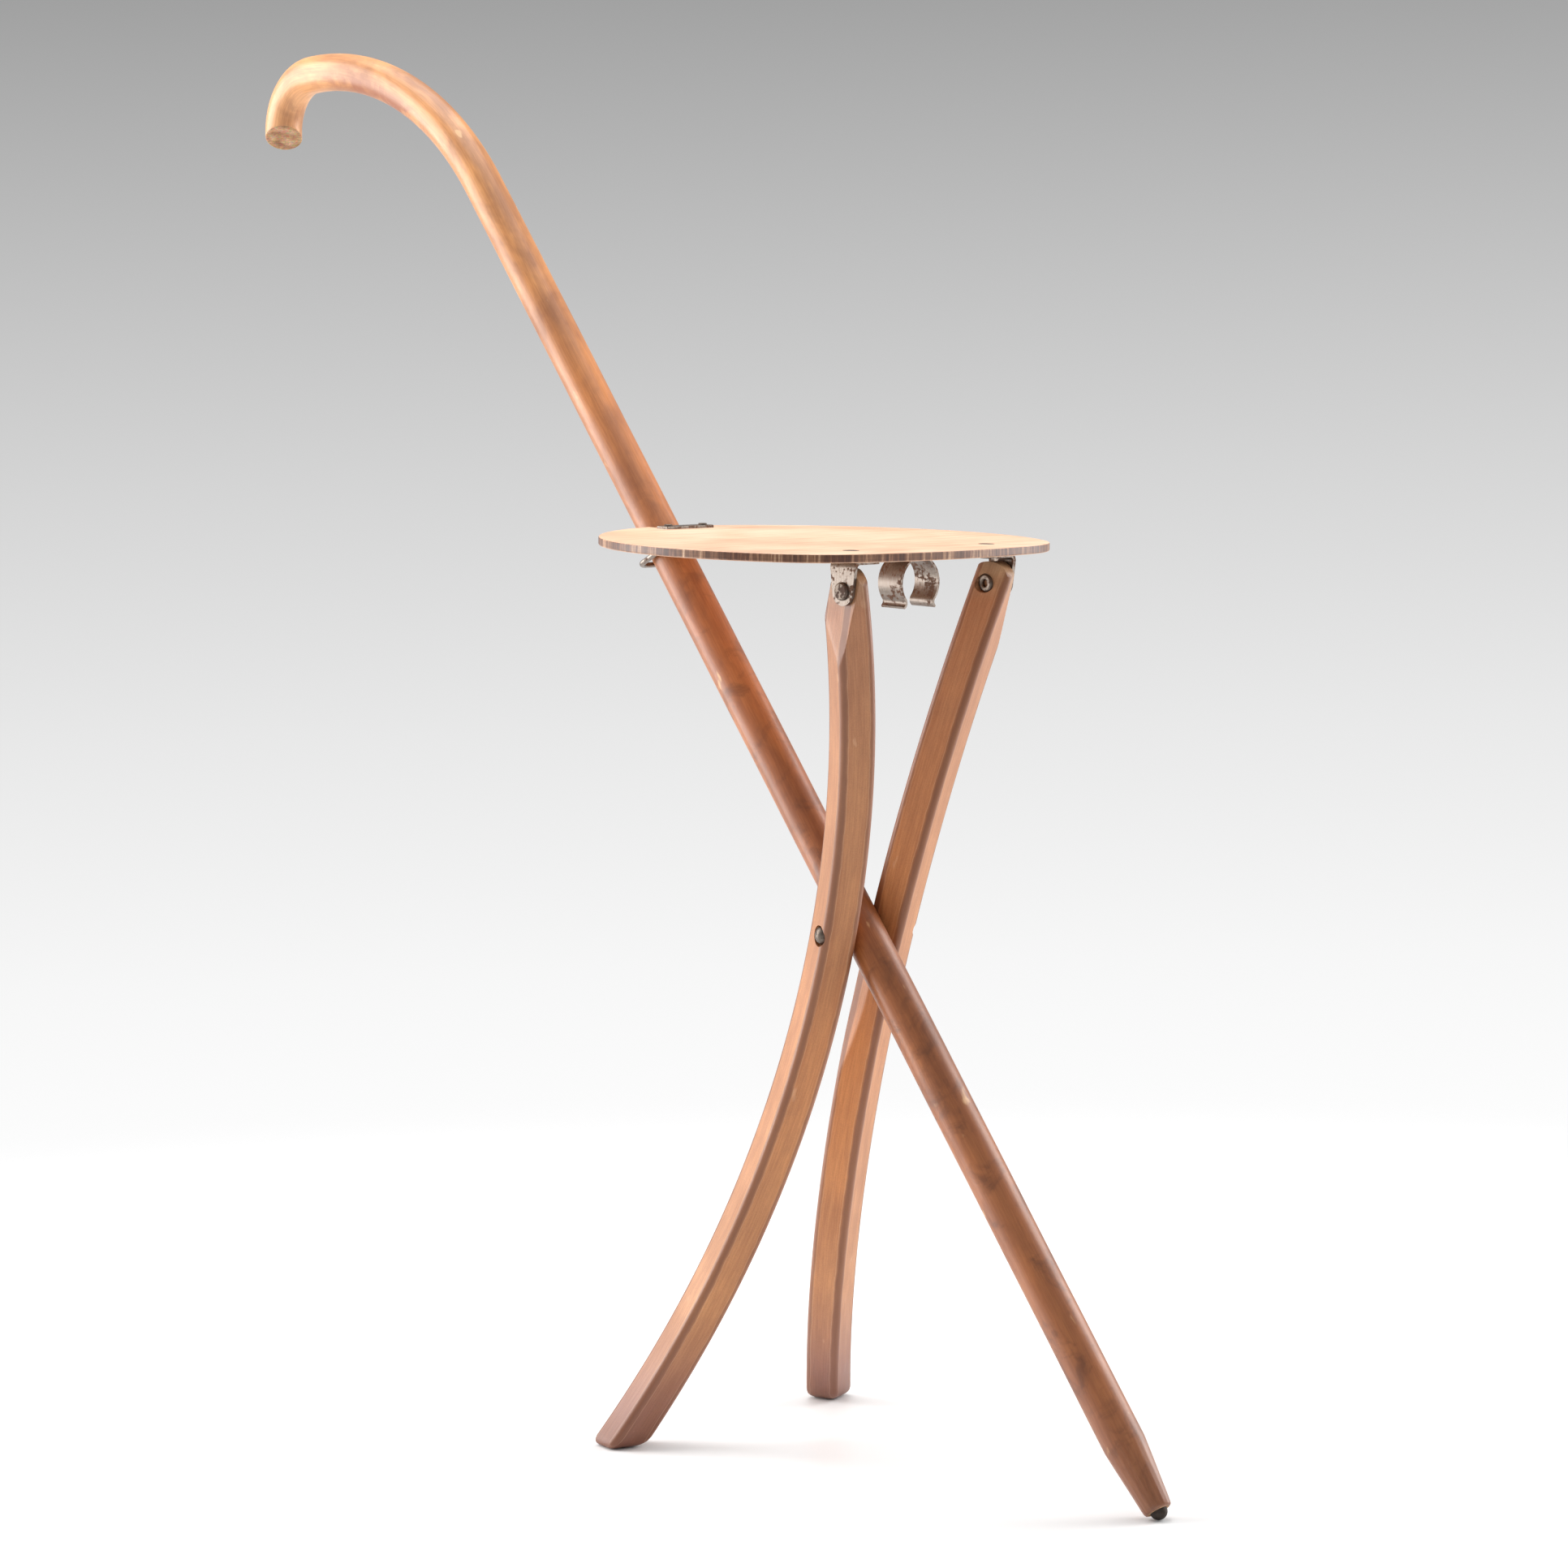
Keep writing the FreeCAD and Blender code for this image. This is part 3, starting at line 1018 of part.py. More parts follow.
clench = "{plate_rivet_head_height}"
plate_top = f"({clench} + {{board_thickness}} + {{plate_thickness}})"
plate_rivet = turned("plate_rivet", [
    ("0", "0"),
    ("{plate_rivet_clench_diameter} / 2", "0"),
    ("{plate_rivet_clench_diameter} / 2", clench),
    ("{plate_rivet_diameter} / 2", clench),
    ("{plate_rivet_diameter} / 2", plate_top),
    ("{plate_rivet_head_diameter} / 2", plate_top),
    ("{plate_rivet_head_diameter} / 2", f"{plate_top} + {{plate_rivet_head_height}}"),
    ("0", f"{plate_top} + {{plate_rivet_head_height}}"),
], [
    ("{plate_rivet_clench_diameter} / 2", "0", f"{clench} * 0.6"),
    ("{plate_rivet_head_diameter} / 2", f"{plate_top} + {{plate_rivet_head_height}}",
     "{plate_rivet_head_height} * 0.7"),
], seat_frame("-{plate_rivet_back}", "{plate_rivet_spacing} / 2", f"{{pin_below_board}} - {clench}"))
cane_plate_rivets = pair("cane_plate_rivets", plate_rivet)


# Checks and export: one file for each piece

doc.removeObject("Trial")

PIECES = [
    cane, cane_tip_stud,
    left_leg, right_leg, pivot_rivet, pivot_rivet_washer,
    seat_board, left_bracket, right_bracket, left_bracket_pin, right_bracket_pin, bracket_rivets,
    spring_clip, spring_clip_screw, cane_plate, cane_plate_rivets, bail_staples,
    bail,
]
doc.recompute()
for obj in doc.Objects:
    if "Invalid" in obj.State or "Error" in obj.State:
        raise RuntimeError(f"{obj.Label} did not recompute: {obj.State}")
for obj in PIECES:
    if obj.Shape.isNull() or not obj.Shape.isValid():
        raise RuntimeError(f"{obj.Label} has no valid shape")
os.makedirs("parts", exist_ok=True)
for obj in PIECES:
    obj.Shape.exportStep(f"parts/{obj.Label}.step")
    box = obj.Shape.BoundBox
    print(f"{obj.Label}: {len(obj.Shape.Solids)} solid, volume {obj.Shape.Volume / 1000:.2f} cm3,"
          f" x {box.XMin:.1f} to {box.XMax:.1f}, y {box.YMin:.1f} to {box.YMax:.1f},"
          f" z {box.ZMin:.1f} to {box.ZMax:.1f}")
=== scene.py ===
# %% [markdown]
# # A walking stick seat, dressed for its portrait
# The stool is a crook-handled stick, two bent legs riveted across it and a thin plywood
# seat on small steel fittings. Its solids come packed from the CAD step, already at their
# real size, so this file only adds what the solids can't show: a finer stick and finer legs
# with their grain and wear, the wood's and the steel's finish, the light and the camera.
# Everything is in metres in the stool's own frame, with Z up, X the way a sitter faces and
# Y to the sitter's left.

import math

import bpy
import numpy as np
from mathutils import Matrix, Vector


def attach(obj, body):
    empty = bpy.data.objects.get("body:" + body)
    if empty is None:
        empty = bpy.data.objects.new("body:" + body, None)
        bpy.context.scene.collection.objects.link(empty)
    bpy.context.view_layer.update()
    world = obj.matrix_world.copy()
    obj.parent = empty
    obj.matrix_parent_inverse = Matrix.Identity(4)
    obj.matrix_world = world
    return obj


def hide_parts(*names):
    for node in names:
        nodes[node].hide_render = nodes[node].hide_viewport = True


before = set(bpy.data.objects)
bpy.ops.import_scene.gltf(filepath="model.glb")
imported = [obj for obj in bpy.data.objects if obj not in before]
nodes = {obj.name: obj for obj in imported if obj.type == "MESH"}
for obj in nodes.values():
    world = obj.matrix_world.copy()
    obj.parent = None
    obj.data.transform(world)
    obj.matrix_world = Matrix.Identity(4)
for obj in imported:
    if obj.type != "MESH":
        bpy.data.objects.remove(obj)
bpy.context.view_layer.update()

# %% [markdown]
# ## Where things are
# The stick, the seat and each leg's bow have their own axes in the real object: the wood's
# grain runs along them and the plies lie across them. A frame is a 4 by 4 matrix made of a
# turn and a shift. The same few numbers as in the CAD source give each of them, so a
# pattern can be laid on a piece in the piece's own directions.

# %% The frames of the stick, the seat and the legs
MM = 0.001
STICK_LEAN = math.radians(36.2)
LEG_LEAN = math.radians(19.4)
LEG_TOE = math.radians(20.0)
SEAT_TILT = math.radians(3.4)
BOW = 613.0 * MM
PIVOT = Vector((136.16, 0.0, 259.20)) * MM
PINS = Vector((184.51, 0.0, 426.33)) * MM
STICK_FOOT = Vector((322.79, 0.0, 4.2)) * MM

stick_frame = Matrix.Translation(STICK_FOOT) @ Matrix.Rotation(-STICK_LEAN, 4, "Y")
seat_frame = Matrix.Translation(PINS) @ Matrix.Rotation(SEAT_TILT, 4, "Y")


def bow_frame(side):
    """The middle of a leg's bow: the leg follows a circle of 613 mm about this frame's x axis."""
    centre = PIVOT + Vector((
        -24.9 * MM * math.sin(LEG_LEAN) - BOW * math.sin(LEG_TOE) * math.cos(LEG_LEAN),
        side * (19.2 * MM + BOW * math.cos(LEG_TOE)),
        -24.9 * MM * math.cos(LEG_LEAN) + BOW * math.sin(LEG_TOE) * math.sin(LEG_LEAN)))
    toe = LEG_TOE if side > 0 else math.pi - LEG_TOE
    return Matrix.Translation(centre) @ Matrix.Rotation(LEG_LEAN, 4, "Y") @ Matrix.Rotation(toe, 4, "Z")


print("pivot at", tuple(round(v, 4) for v in PIVOT), "bow middles at",
      [tuple(round(v, 3) for v in bow_frame(side).to_translation()) for side in (1, -1)])

# %% [markdown]
# ## The stick's middle line
# A crook stick is one straight bar that was steamed and bent round a form. Its middle line
# is a straight run, a long easy arc, a tight arc and a short straight end. One function
# that takes a distance along the bar and gives the point and the direction there is enough
# to carry any profile along it, and it works on whole arrays at once.

# %% The middle line as a function of the distance along the bar
STRAIGHT = 782.8
EASY_RADIUS, EASY_TURN = 174.5, math.radians(56.5)
NOSE_RADIUS, NOSE_TURN = 31.0, math.radians(87.3)
EASY_END = STRAIGHT + EASY_RADIUS * EASY_TURN
NOSE_END = EASY_END + NOSE_RADIUS * NOSE_TURN


def middle_line(s):
    """Point and direction at a distance s in mm along the bar.

    The direction turns back from straight up by (s - start) / radius in each arc, and the
    point is the sum of the runs before it plus radius * (cos turn - 1, sin turn) steps.
    """
    easy = np.clip(s - STRAIGHT, 0, EASY_END - STRAIGHT) / EASY_RADIUS
    nose = np.clip(s - EASY_END, 0, NOSE_END - EASY_END) / NOSE_RADIUS
    turn = easy + nose
    last = np.clip(s - NOSE_END, 0, None)
    x = (EASY_RADIUS * (np.cos(easy) - 1) + NOSE_RADIUS * (np.cos(turn) - np.cos(easy))
         - last * np.sin(turn))
    z = (np.minimum(s, STRAIGHT) + EASY_RADIUS * np.sin(easy)
         + NOSE_RADIUS * (np.sin(turn) - np.sin(easy)) + last * np.cos(turn))
    point = np.stack([x, np.zeros_like(x), z], -1)
    direction = np.stack([-np.sin(turn), np.zeros_like(x), np.cos(turn)], -1)
    return point, direction


crown, _ = middle_line(np.linspace(0, NOSE_END, 2000))
print("bent bar:", round(NOSE_END, 1), "mm long; furthest back", round(crown[:, 0].min(), 1), "mm")

# %% [markdown]
# ## A surface from rings
# The stick and the legs are both bars, and a bar's surface is a grid: each row is a ring
# round the middle line and each column runs along the grain. A curve with a bevel would give
# the same tube, but not the whittled tip, the worn feet or the slanting cuts. Two vectors
# are kept for each vertex, its place across and along the straight bar, so that the grain
# bends with the bar.

# %% A mesh from a grid of rings, closed at both ends
def ring_mesh(name, rings, along, across):
    """A closed surface from rings of points, with a point at each end; all arrays are in mm."""
    count, width = rings.shape[:2]
    start, end = rings[0].mean(0), rings[-1].mean(0)
    points = np.concatenate([rings.reshape(-1, 3), [start], [end]]) * MM
    grain = np.concatenate([np.concatenate([across, along[..., None]], -1).reshape(-1, 3),
                            [[0, 0, along[0].mean()]], [[0, 0, along[-1].mean()]]]) * MM
    row, column = np.meshgrid(np.arange(count - 1), np.arange(width), indexing="ij")
    following = (column + 1) % width
    quads = np.stack([row * width + column, row * width + following,
                      (row + 1) * width + following, (row + 1) * width + column], -1).reshape(-1, 4)
    first = np.arange(width)
    second = (first + 1) % width
    foot_fan = np.stack([second, first, np.full(width, count * width)], -1)
    top = (count - 1) * width
    end_fan = np.stack([top + first, top + second, np.full(width, count * width + 1)], -1)
    mesh = bpy.data.meshes.new(name)
    mesh.from_pydata(points, [], quads.tolist() + foot_fan.tolist() + end_fan.tolist())
    kept = mesh.attributes.new("grain_place", "FLOAT_VECTOR", "POINT")
    kept.data.foreach_set("vector", grain.ravel())
    mesh.update()
    made = bpy.data.objects.new(name, mesh)
    bpy.context.collection.objects.link(made)
    return made, quads.shape[0]


# %% [markdown]
# ## The stick's girth and the saw's plane
# The shaft was turned and then rubbed down by hand, so it is never quite round, and the tip
# was whittled to a cone with a knife. The crook's end was sawn off at a slant. The girth is
# a function of the place along the bar and the angle round it, and the cut is found for each
# column by halving: there is no closed formula for where a bent bar meets a plane.

# %% Girth, surface point and saw cut
BAR_RADIUS, TIP_RADIUS, TIP_LENGTH = 10.25, 6.9, 34.0
SAW_AT, SAW_TILT, SAW_TURN = NOSE_END + 1.7, math.radians(30), math.radians(42)
SAW_NORMAL = stick_frame.to_3x3().inverted() @ Vector((
    math.sin(SAW_TILT) * math.cos(SAW_TURN), -math.sin(SAW_TILT) * math.sin(SAW_TURN),
    -math.cos(SAW_TILT)))
SAW_POINT, _ = middle_line(np.array(SAW_AT))
HALVINGS = 40


def bar_radius(s, angle):
    """Radius at a distance and an angle: the tip's cone, then a bar that is never quite round.

    The cone rises in a straight line from 6.9 to 10.25 mm. Slow waves along and round the
    bar take up to 0.16 mm off, and near the tip knife cuts take up to 0.12 mm more, the
    absolute cosine of nine turns.
    """
    cone = TIP_RADIUS + (BAR_RADIUS - TIP_RADIUS) * np.clip(s / TIP_LENGTH, 0, 1)
    waves = (np.sin(s / 37 + 2 * angle) + np.sin(s / 91 - 3 * angle + 1) + np.sin(s / 13 + angle)) / 3
    facets = 0.12 * np.cos(9 * angle + s / 30) * np.clip((TIP_LENGTH + 14 - s) / 20, 0, 1)
    return cone - 0.08 * (1 - waves) - np.abs(facets)


def bar_point(s, angle, radius):
    """The point at a distance, an angle and a radius: middle line + radius * (cos, sin) across it."""
    point, direction = middle_line(s)
    side = np.stack([direction[..., 2], np.zeros_like(s), -direction[..., 0]], -1)
    out = side * (radius * np.cos(angle))[..., None]
    out[..., 1] += radius * np.sin(angle)
    return point + out


def saw_lengths(angles):
    """Where each column meets the saw: halve the stretch where (point - saw) . normal changes sign."""
    low, high = np.full(angles.shape, SAW_AT - 20.0), np.full(angles.shape, SAW_AT + 12.0)
    for _ in range(HALVINGS):
        middle = (low + high) / 2
        point = bar_point(middle, angles, bar_radius(middle, angles))
        beyond = (point - SAW_POINT) @ np.array(SAW_NORMAL) > 0
        low, high = np.where(beyond, low, middle), np.where(beyond, middle, high)
    return low


angles = np.linspace(0, 2 * math.pi, 96, endpoint=False)
cut_length = saw_lengths(angles)
print("saw cut from", round(cut_length.min(), 1), "to", round(cut_length.max(), 1), "mm along the bar")

# %% [markdown]
# ## The stick's rings
# The rings stand close together at the tip, where the knife's edge was rubbed round, 2.4 mm
# apart along the shaft, and close together again before the saw cut, where each column is
# stretched to its own length. Smaller rings inside the first and the last one fill the ends.

# %% The stick as one grid, from the whittled tip to the sawn crook
TIP_ROWS, TIP_ROUNDING = (0.0, 0.35, 1.1), (1.1, 0.45, 0.1)
TIP_FILL, SAWN_FILL = (0.25, 0.6, 0.85), (0.93, 0.85, 0.6, 0.3)
SAWN_ROUNDING = 0.9
body_rows = np.concatenate([TIP_ROWS, np.arange(3, 36, 1.5), np.arange(37, SAW_AT - 24, 2.4)])
body_s = np.repeat(body_rows[:, None], len(angles), 1)
share = np.linspace(0, 1, 16)[1:, None]
wall_s = np.concatenate([body_s, body_s[-1] + (cut_length - SAWN_ROUNDING - body_s[-1]) * share])
wall_r = bar_radius(wall_s, angles[None])
wall_r[:3] -= np.array(TIP_ROUNDING)[:, None]
wall = bar_point(wall_s, angles[None] + 0 * wall_s, wall_r)
rim = bar_point(cut_length, angles, bar_radius(cut_length, angles))
eased_rim = SAW_POINT + ((wall[-1] + rim) / 2 - SAW_POINT) * 0.99
rings = np.concatenate([[wall[0] * [f, f, 1] for f in TIP_FILL], wall, [eased_rim],
                        [SAW_POINT + (rim - SAW_POINT) * f for f in SAWN_FILL]])
along = np.concatenate([np.zeros((len(TIP_FILL), len(angles))), wall_s, [cut_length - 0.3],
                        np.tile(cut_length, (len(SAWN_FILL), 1))])
across_r = np.concatenate([np.outer(TIP_FILL, wall_r[0]), wall_r, [wall_r[-1]],
                           np.outer(SAWN_FILL, wall_r[-1])])
across = np.stack([across_r * np.cos(angles), across_r * np.sin(angles)], -1)
walking_stick, stick_quads = ring_mesh("walking_stick", rings, along, across)
walking_stick.data.transform(stick_frame)
print("stick:", len(rings), "rings of", len(angles), "points")

# %% [markdown]
# ## The stick's place in the stool
# The two ends get a slot of their own, because sawn end grain looks quite unlike the
# waxed shaft.

end_rows = [0, 1, 2] + list(range(len(rings) - 5, len(rings) - 1))
slot_of_face = np.zeros(len(walking_stick.data.polygons), np.int32)
for row in end_rows:
    slot_of_face[row * len(angles):(row + 1) * len(angles)] = 1
slot_of_face[stick_quads:] = 1
walking_stick.data.polygons.foreach_set("material_index", slot_of_face)
walking_stick.data.polygons.foreach_set("use_smooth", np.ones(len(slot_of_face), bool))
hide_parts("cane")
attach(walking_stick, "stick")
print("faces with the sawn finish:", int(slot_of_face.sum()), "of", len(slot_of_face))

# %% [markdown]
# ## The legs' section and bow
# Each leg is a square bar with rounded arrises, bent to a bow that turns out at the foot. It
# was planed flat where it lies against the stick and under the strap, and its top was
# narrowed and rounded to swing clear of the board. A fibre is one place in the section. The
# bow carries it along a circle, and the planed faces push it in to where the plane stopped.

# %% One fibre of the bow, with the planed faces
HALF_WIDTH, HALF_DEPTH, ARRIS = 9.3, 9.0, 3.0
CORNER_REACH = 13.5
TOP_LEAN, TOP_ROUND = math.radians(12.97), 10.4
STICK_SIDE, STRAP_SIDE, STRAP_FROM = 10.55, 51.4, 20
FLANK_EASE, FLANK_LENGTH = 2.2, 30


def bar_section(count):
    """A rounded rectangle: at each angle the arris's own centre plus the arris radius outwards."""
    turn = np.linspace(0, 2 * math.pi, count, endpoint=False)
    reach_x, reach_y = np.cos(turn) * CORNER_REACH, np.sin(turn) * CORNER_REACH
    x = np.clip(reach_x, ARRIS - HALF_WIDTH, HALF_WIDTH - ARRIS)
    y = np.clip(reach_y, ARRIS - HALF_DEPTH, HALF_DEPTH - ARRIS)
    reach = np.hypot(reach_x - x, reach_y - y)
    return x + (reach_x - x) / reach * ARRIS, y + (reach_y - y) / reach * ARRIS


def from_pin(point):
    """How far a point is across and along the leg's top, measured from the bracket's pin."""
    x, z = point[..., 0] - PINS.x / MM, point[..., 2] - PINS.z / MM
    return (x * math.cos(TOP_LEAN) - z * math.sin(TOP_LEAN),
            x * math.sin(TOP_LEAN) + z * math.cos(TOP_LEAN))


def bow_point(side, width, depth, angle):
    """World place in mm of a fibre at an angle round the bow.

    In the bow's frame it is (width, -(613 + depth) cos angle, (613 + depth) sin angle). Then
    y is held between the stick's side and the strap's, and near the pin the distance across
    is held within the flanks, which widen by 2.2 mm over the 30 mm below the pin.
    """
    reach = BOW / MM + depth
    local = np.stack(np.broadcast_arrays(width, -reach * np.cos(angle), reach * np.sin(angle)), -1)
    place = bow_frame(side)
    point = local @ np.array(place.to_3x3()).T + np.array(place.to_translation()) / MM
    point[..., 1] = side * np.maximum(side * point[..., 1], STICK_SIDE)
    above = point[..., 2] > PIVOT.z / MM + STRAP_FROM
    point[..., 1] = np.where(above, side * np.minimum(side * point[..., 1], STRAP_SIDE), point[..., 1])
    across, rise = from_pin(point)
    flank = TOP_ROUND + FLANK_EASE * np.clip(-rise, 0, FLANK_LENGTH) / FLANK_LENGTH
    excess = np.where(rise > -FLANK_LENGTH, across - np.clip(across, -flank, flank), 0.0)
    point[..., 0] -= excess * math.cos(TOP_LEAN)
    point[..., 2] += excess * math.sin(TOP_LEAN)
    return point


print("leg section", 2 * HALF_WIDTH, "by", 2 * HALF_DEPTH, "mm, foot at",
      np.round(bow_point(1, 0.0, 0.0, -0.45), 1), "mm when the bow turns by -0.45")

# %% [markdown]
# ## One leg from its fibres
# Every fibre ends where it meets a surface: the ground below, and a round of 10.4 mm about
# the pin above. The outer fibres make the walls. The inner ones end at other heights, and so
# make the foot, worn round by the floor, and the top. It could be a box cut by other boxes,
# but then the grain wouldn't follow the bow.

# %% Where the fibres end, and the grid that they make
FIBRE_SHARES = np.array([0.12, 0.35, 0.55, 0.7, 0.82, 0.9, 0.96, 1.0])
FOOT_WEAR = 5.0
FIBRES, WALL_ROWS = 112, 190


def fibre_end(side, width, depth, furthest, beyond):
    """Angle at which each fibre meets a surface: halve the stretch from 0 to the furthest 40 times."""
    low, high = np.zeros(np.shape(width)), np.full(np.shape(width), furthest)
    for _ in range(HALVINGS):
        middle = (low + high) / 2
        out = beyond(bow_point(side, width, depth, middle))
        low, high = np.where(out, low, middle), np.where(out, middle, high)
    return low


def bent_leg(name, side):
    """A leg's grid: inner fibres of the foot, the walls from foot to top, inner fibres of the top.

    A fibre of the foot ends 5 mm * (1 - sqrt(1 - t^2)) above the floor, with t rising from 0
    half way out of the section to 1 at the walls.
    """
    width, depth = bar_section(FIBRES)
    half_way_out = np.clip((FIBRE_SHARES - 0.5) / 0.5, 0, 1)
    wear = FOOT_WEAR * (1 - np.sqrt(1 - half_way_out ** 2))
    feet = [fibre_end(side, width * f, depth * f, -0.9, lambda p: p[..., 2] < worn)
            for f, worn in zip(FIBRE_SHARES, wear)]
    tops = [fibre_end(side, width * f, depth * f, 0.6, lambda p: (
        (from_pin(p)[1] > 0) & (np.hypot(*from_pin(p)) > TOP_ROUND))) for f in FIBRE_SHARES]
    inner = FIBRE_SHARES[:-1]
    wall_angle = feet[-1] + (tops[-1] - feet[-1]) * np.linspace(0, 1, WALL_ROWS)[:, None]
    angle = np.concatenate([feet[:-1], wall_angle, tops[-2::-1]])
    share = np.concatenate([inner, np.ones(WALL_ROWS), inner[::-1]])[:, None]
    rings = bow_point(side, width * share, depth * share, angle)
    across = np.stack([width * share, depth * share], -1)
    made, _ = ring_mesh(name, rings[:, ::-1], (angle * BOW / MM)[:, ::-1], across[:, ::-1])
    return made


legs = {side: bent_leg(name, side) for name, side in (("bent_left_leg", 1), ("bent_right_leg", -1))}
print("legs before boring:", [(leg.name, len(leg.data.polygons)) for leg in legs.values()])

# %% [markdown]
# ## Seats for the rivets
# Round the pin and the pivot the outer face of each leg is cut flat, so that a rivet's head
# or washer lies square on it. A hole in a grid is awkward, so a round drill is subtracted.
# The subtraction forgets the grain's place, so each vertex takes it back from the vertex
# that was there before the cut. Both are given one whole number, made of their places in
# thousandths of a millimetre, and the numbers are looked up in a sorted list. Only the few
# new vertices round a hole have to search for the nearest one.

# %% Boring with a round drill, and the grain after it
def bore(target, place, reach, radius):
    """Cuts a round hole along y out of a mesh and removes the drill; all sizes are in mm."""
    turns = np.linspace(0, 2 * math.pi, 48, endpoint=False)
    ring = np.stack([np.cos(turns), 0 * turns, np.sin(turns)], -1) * radius + [place[0], 0, place[2]]
    far_first = sorted((place[1], place[1] + reach), reverse=True)
    drill, _ = ring_mesh("drill", np.stack([ring + [0, y, 0] for y in far_first]),
                         np.zeros((2, 48)), np.zeros((2, 48, 2)))
    cut = target.modifiers.new("bore", "BOOLEAN")
    cut.operation, cut.solver, cut.object = "DIFFERENCE", "EXACT", drill
    graph = bpy.context.evaluated_depsgraph_get()
    graph.update()
    bored = bpy.data.meshes.new_from_object(target.evaluated_get(graph),
                                            preserve_all_data_layers=True, depsgraph=graph)
    target.modifiers.clear()
    target.data = bored
    bpy.data.objects.remove(drill)


def read_vectors(data, what):
    """The vectors of a mesh's points as an array of one row each."""
    values = np.empty(3 * len(data))
    data.foreach_get(what, values)
    return values.reshape(-1, 3)


def place_number(points):
    """One whole number for each point: x, y and z in microns from -1 m, 21 bits each."""
    x, y, z = (np.round(points * 1e6).astype(np.int64) + 10 ** 6).T
    return (x << 42) + (y << 21) + z


def regrain(target, points, grain):
    """Gives each point of a cut mesh the grain place of the same or the nearest point before.

    The nearest point b to a new point a is the one with the least b.b - 2 a.b.
    """
    cut_points = read_vectors(target.data.vertices, "co")
    old, new = place_number(points), place_number(cut_points)
    order = np.argsort(old)
    found = order[np.clip(np.searchsorted(old[order], new), 0, len(old) - 1)]
    added = np.flatnonzero(old[found] != new)
    found[added] = np.argmin((points ** 2).sum(1) - 2 * cut_points[added] @ points.T, 1)
    target.data.attributes["grain_place"].data.foreach_set("vector", grain[found].ravel())
    return len(added)


PIN_SEAT_AT, PIN_SEAT_RADIUS = 42.4, 4.6
PIVOT_SEAT_AT, PIVOT_SEAT_RADIUS = 26.79, {1: 6.9, -1: 5.2}
DRILL_REACH = 20
for side, leg in legs.items():
    points = read_vectors(leg.data.vertices, "co")
    grain = read_vectors(leg.data.attributes["grain_place"].data, "vector")
    bore(leg, (PINS.x / MM, side * PIN_SEAT_AT, PINS.z / MM), -side * DRILL_REACH, PIN_SEAT_RADIUS)
    bore(leg, (PIVOT.x / MM, side * PIVOT_SEAT_AT, PIVOT.z / MM), side * DRILL_REACH,
         PIVOT_SEAT_RADIUS[side])
    added = regrain(leg, points, grain)
    leg.data.polygons.foreach_set("use_smooth", np.ones(len(leg.data.polygons), bool))
    leg.data.set_sharp_from_angle(angle=math.radians(32))
    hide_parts("left_leg" if side > 0 else "right_leg")
    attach(leg, "legs")
    print(leg.name, "has", len(leg.data.polygons), "faces after boring and", added, "new vertices")

# %% [markdown]
# ## Two helpers for the finishes
# Hex colours are written for the screen, but shaders add up light, so each has to be made
# linear first. Nodes are added through one small function that sets what the node needs
# and links what feeds it, which keeps a material short enough to read as a recipe.

# %% Colour and node helpers
def linear(code):
    """An sRGB hex colour as linear RGBA: each channel c becomes ((c + 0.055) / 1.055) ^ 2.4."""
    channels = [int(code[n:n + 2], 16) / 255 for n in (1, 3, 5)]
    return [c / 12.92 if c <= 0.04045 else ((c + 0.055) / 1.055) ** 2.4 for c in channels] + [1.0]


def add(tree, kind, settings=None, links=None):
    """Adds a node: settings are its own properties, sockets or colour stops; links feed its sockets."""
    made = tree.nodes.new("ShaderNode" + kind)
    for key, value in (settings or {}).items():
        if key == "stops":
            ramp = made.color_ramp
            while len(ramp.elements) < len(value):
                ramp.elements.new(0.5)
            for element, (place, colour) in zip(ramp.elements, value):
                element.position = place
                element.color = linear(colour) if isinstance(colour, str) else [colour] * 3 + [1.0]
        elif isinstance(key, str) and hasattr(made, key):
            setattr(made, key, value)
        else:
            made.inputs[key].default_value = linear(value) if isinstance(value, str) else value
    for key, source in (links or {}).items():
        tree.links.new(source.outputs[0] if hasattr(source, "outputs") else source, made.inputs[key])
    return made


def material(name):
    """An empty material with its output and its shader, ready for nodes."""
    made = bpy.data.materials.new(name)
    made.use_nodes = True
    made.node_tree.nodes.clear()
    tree = made.node_tree
    shader = add(tree, "BsdfPrincipled")
    add(tree, "OutputMaterial", links={"Surface": shader})
    return made, tree, shader


print("honey brown in linear light:", np.round(linear("#c98a55"), 3))
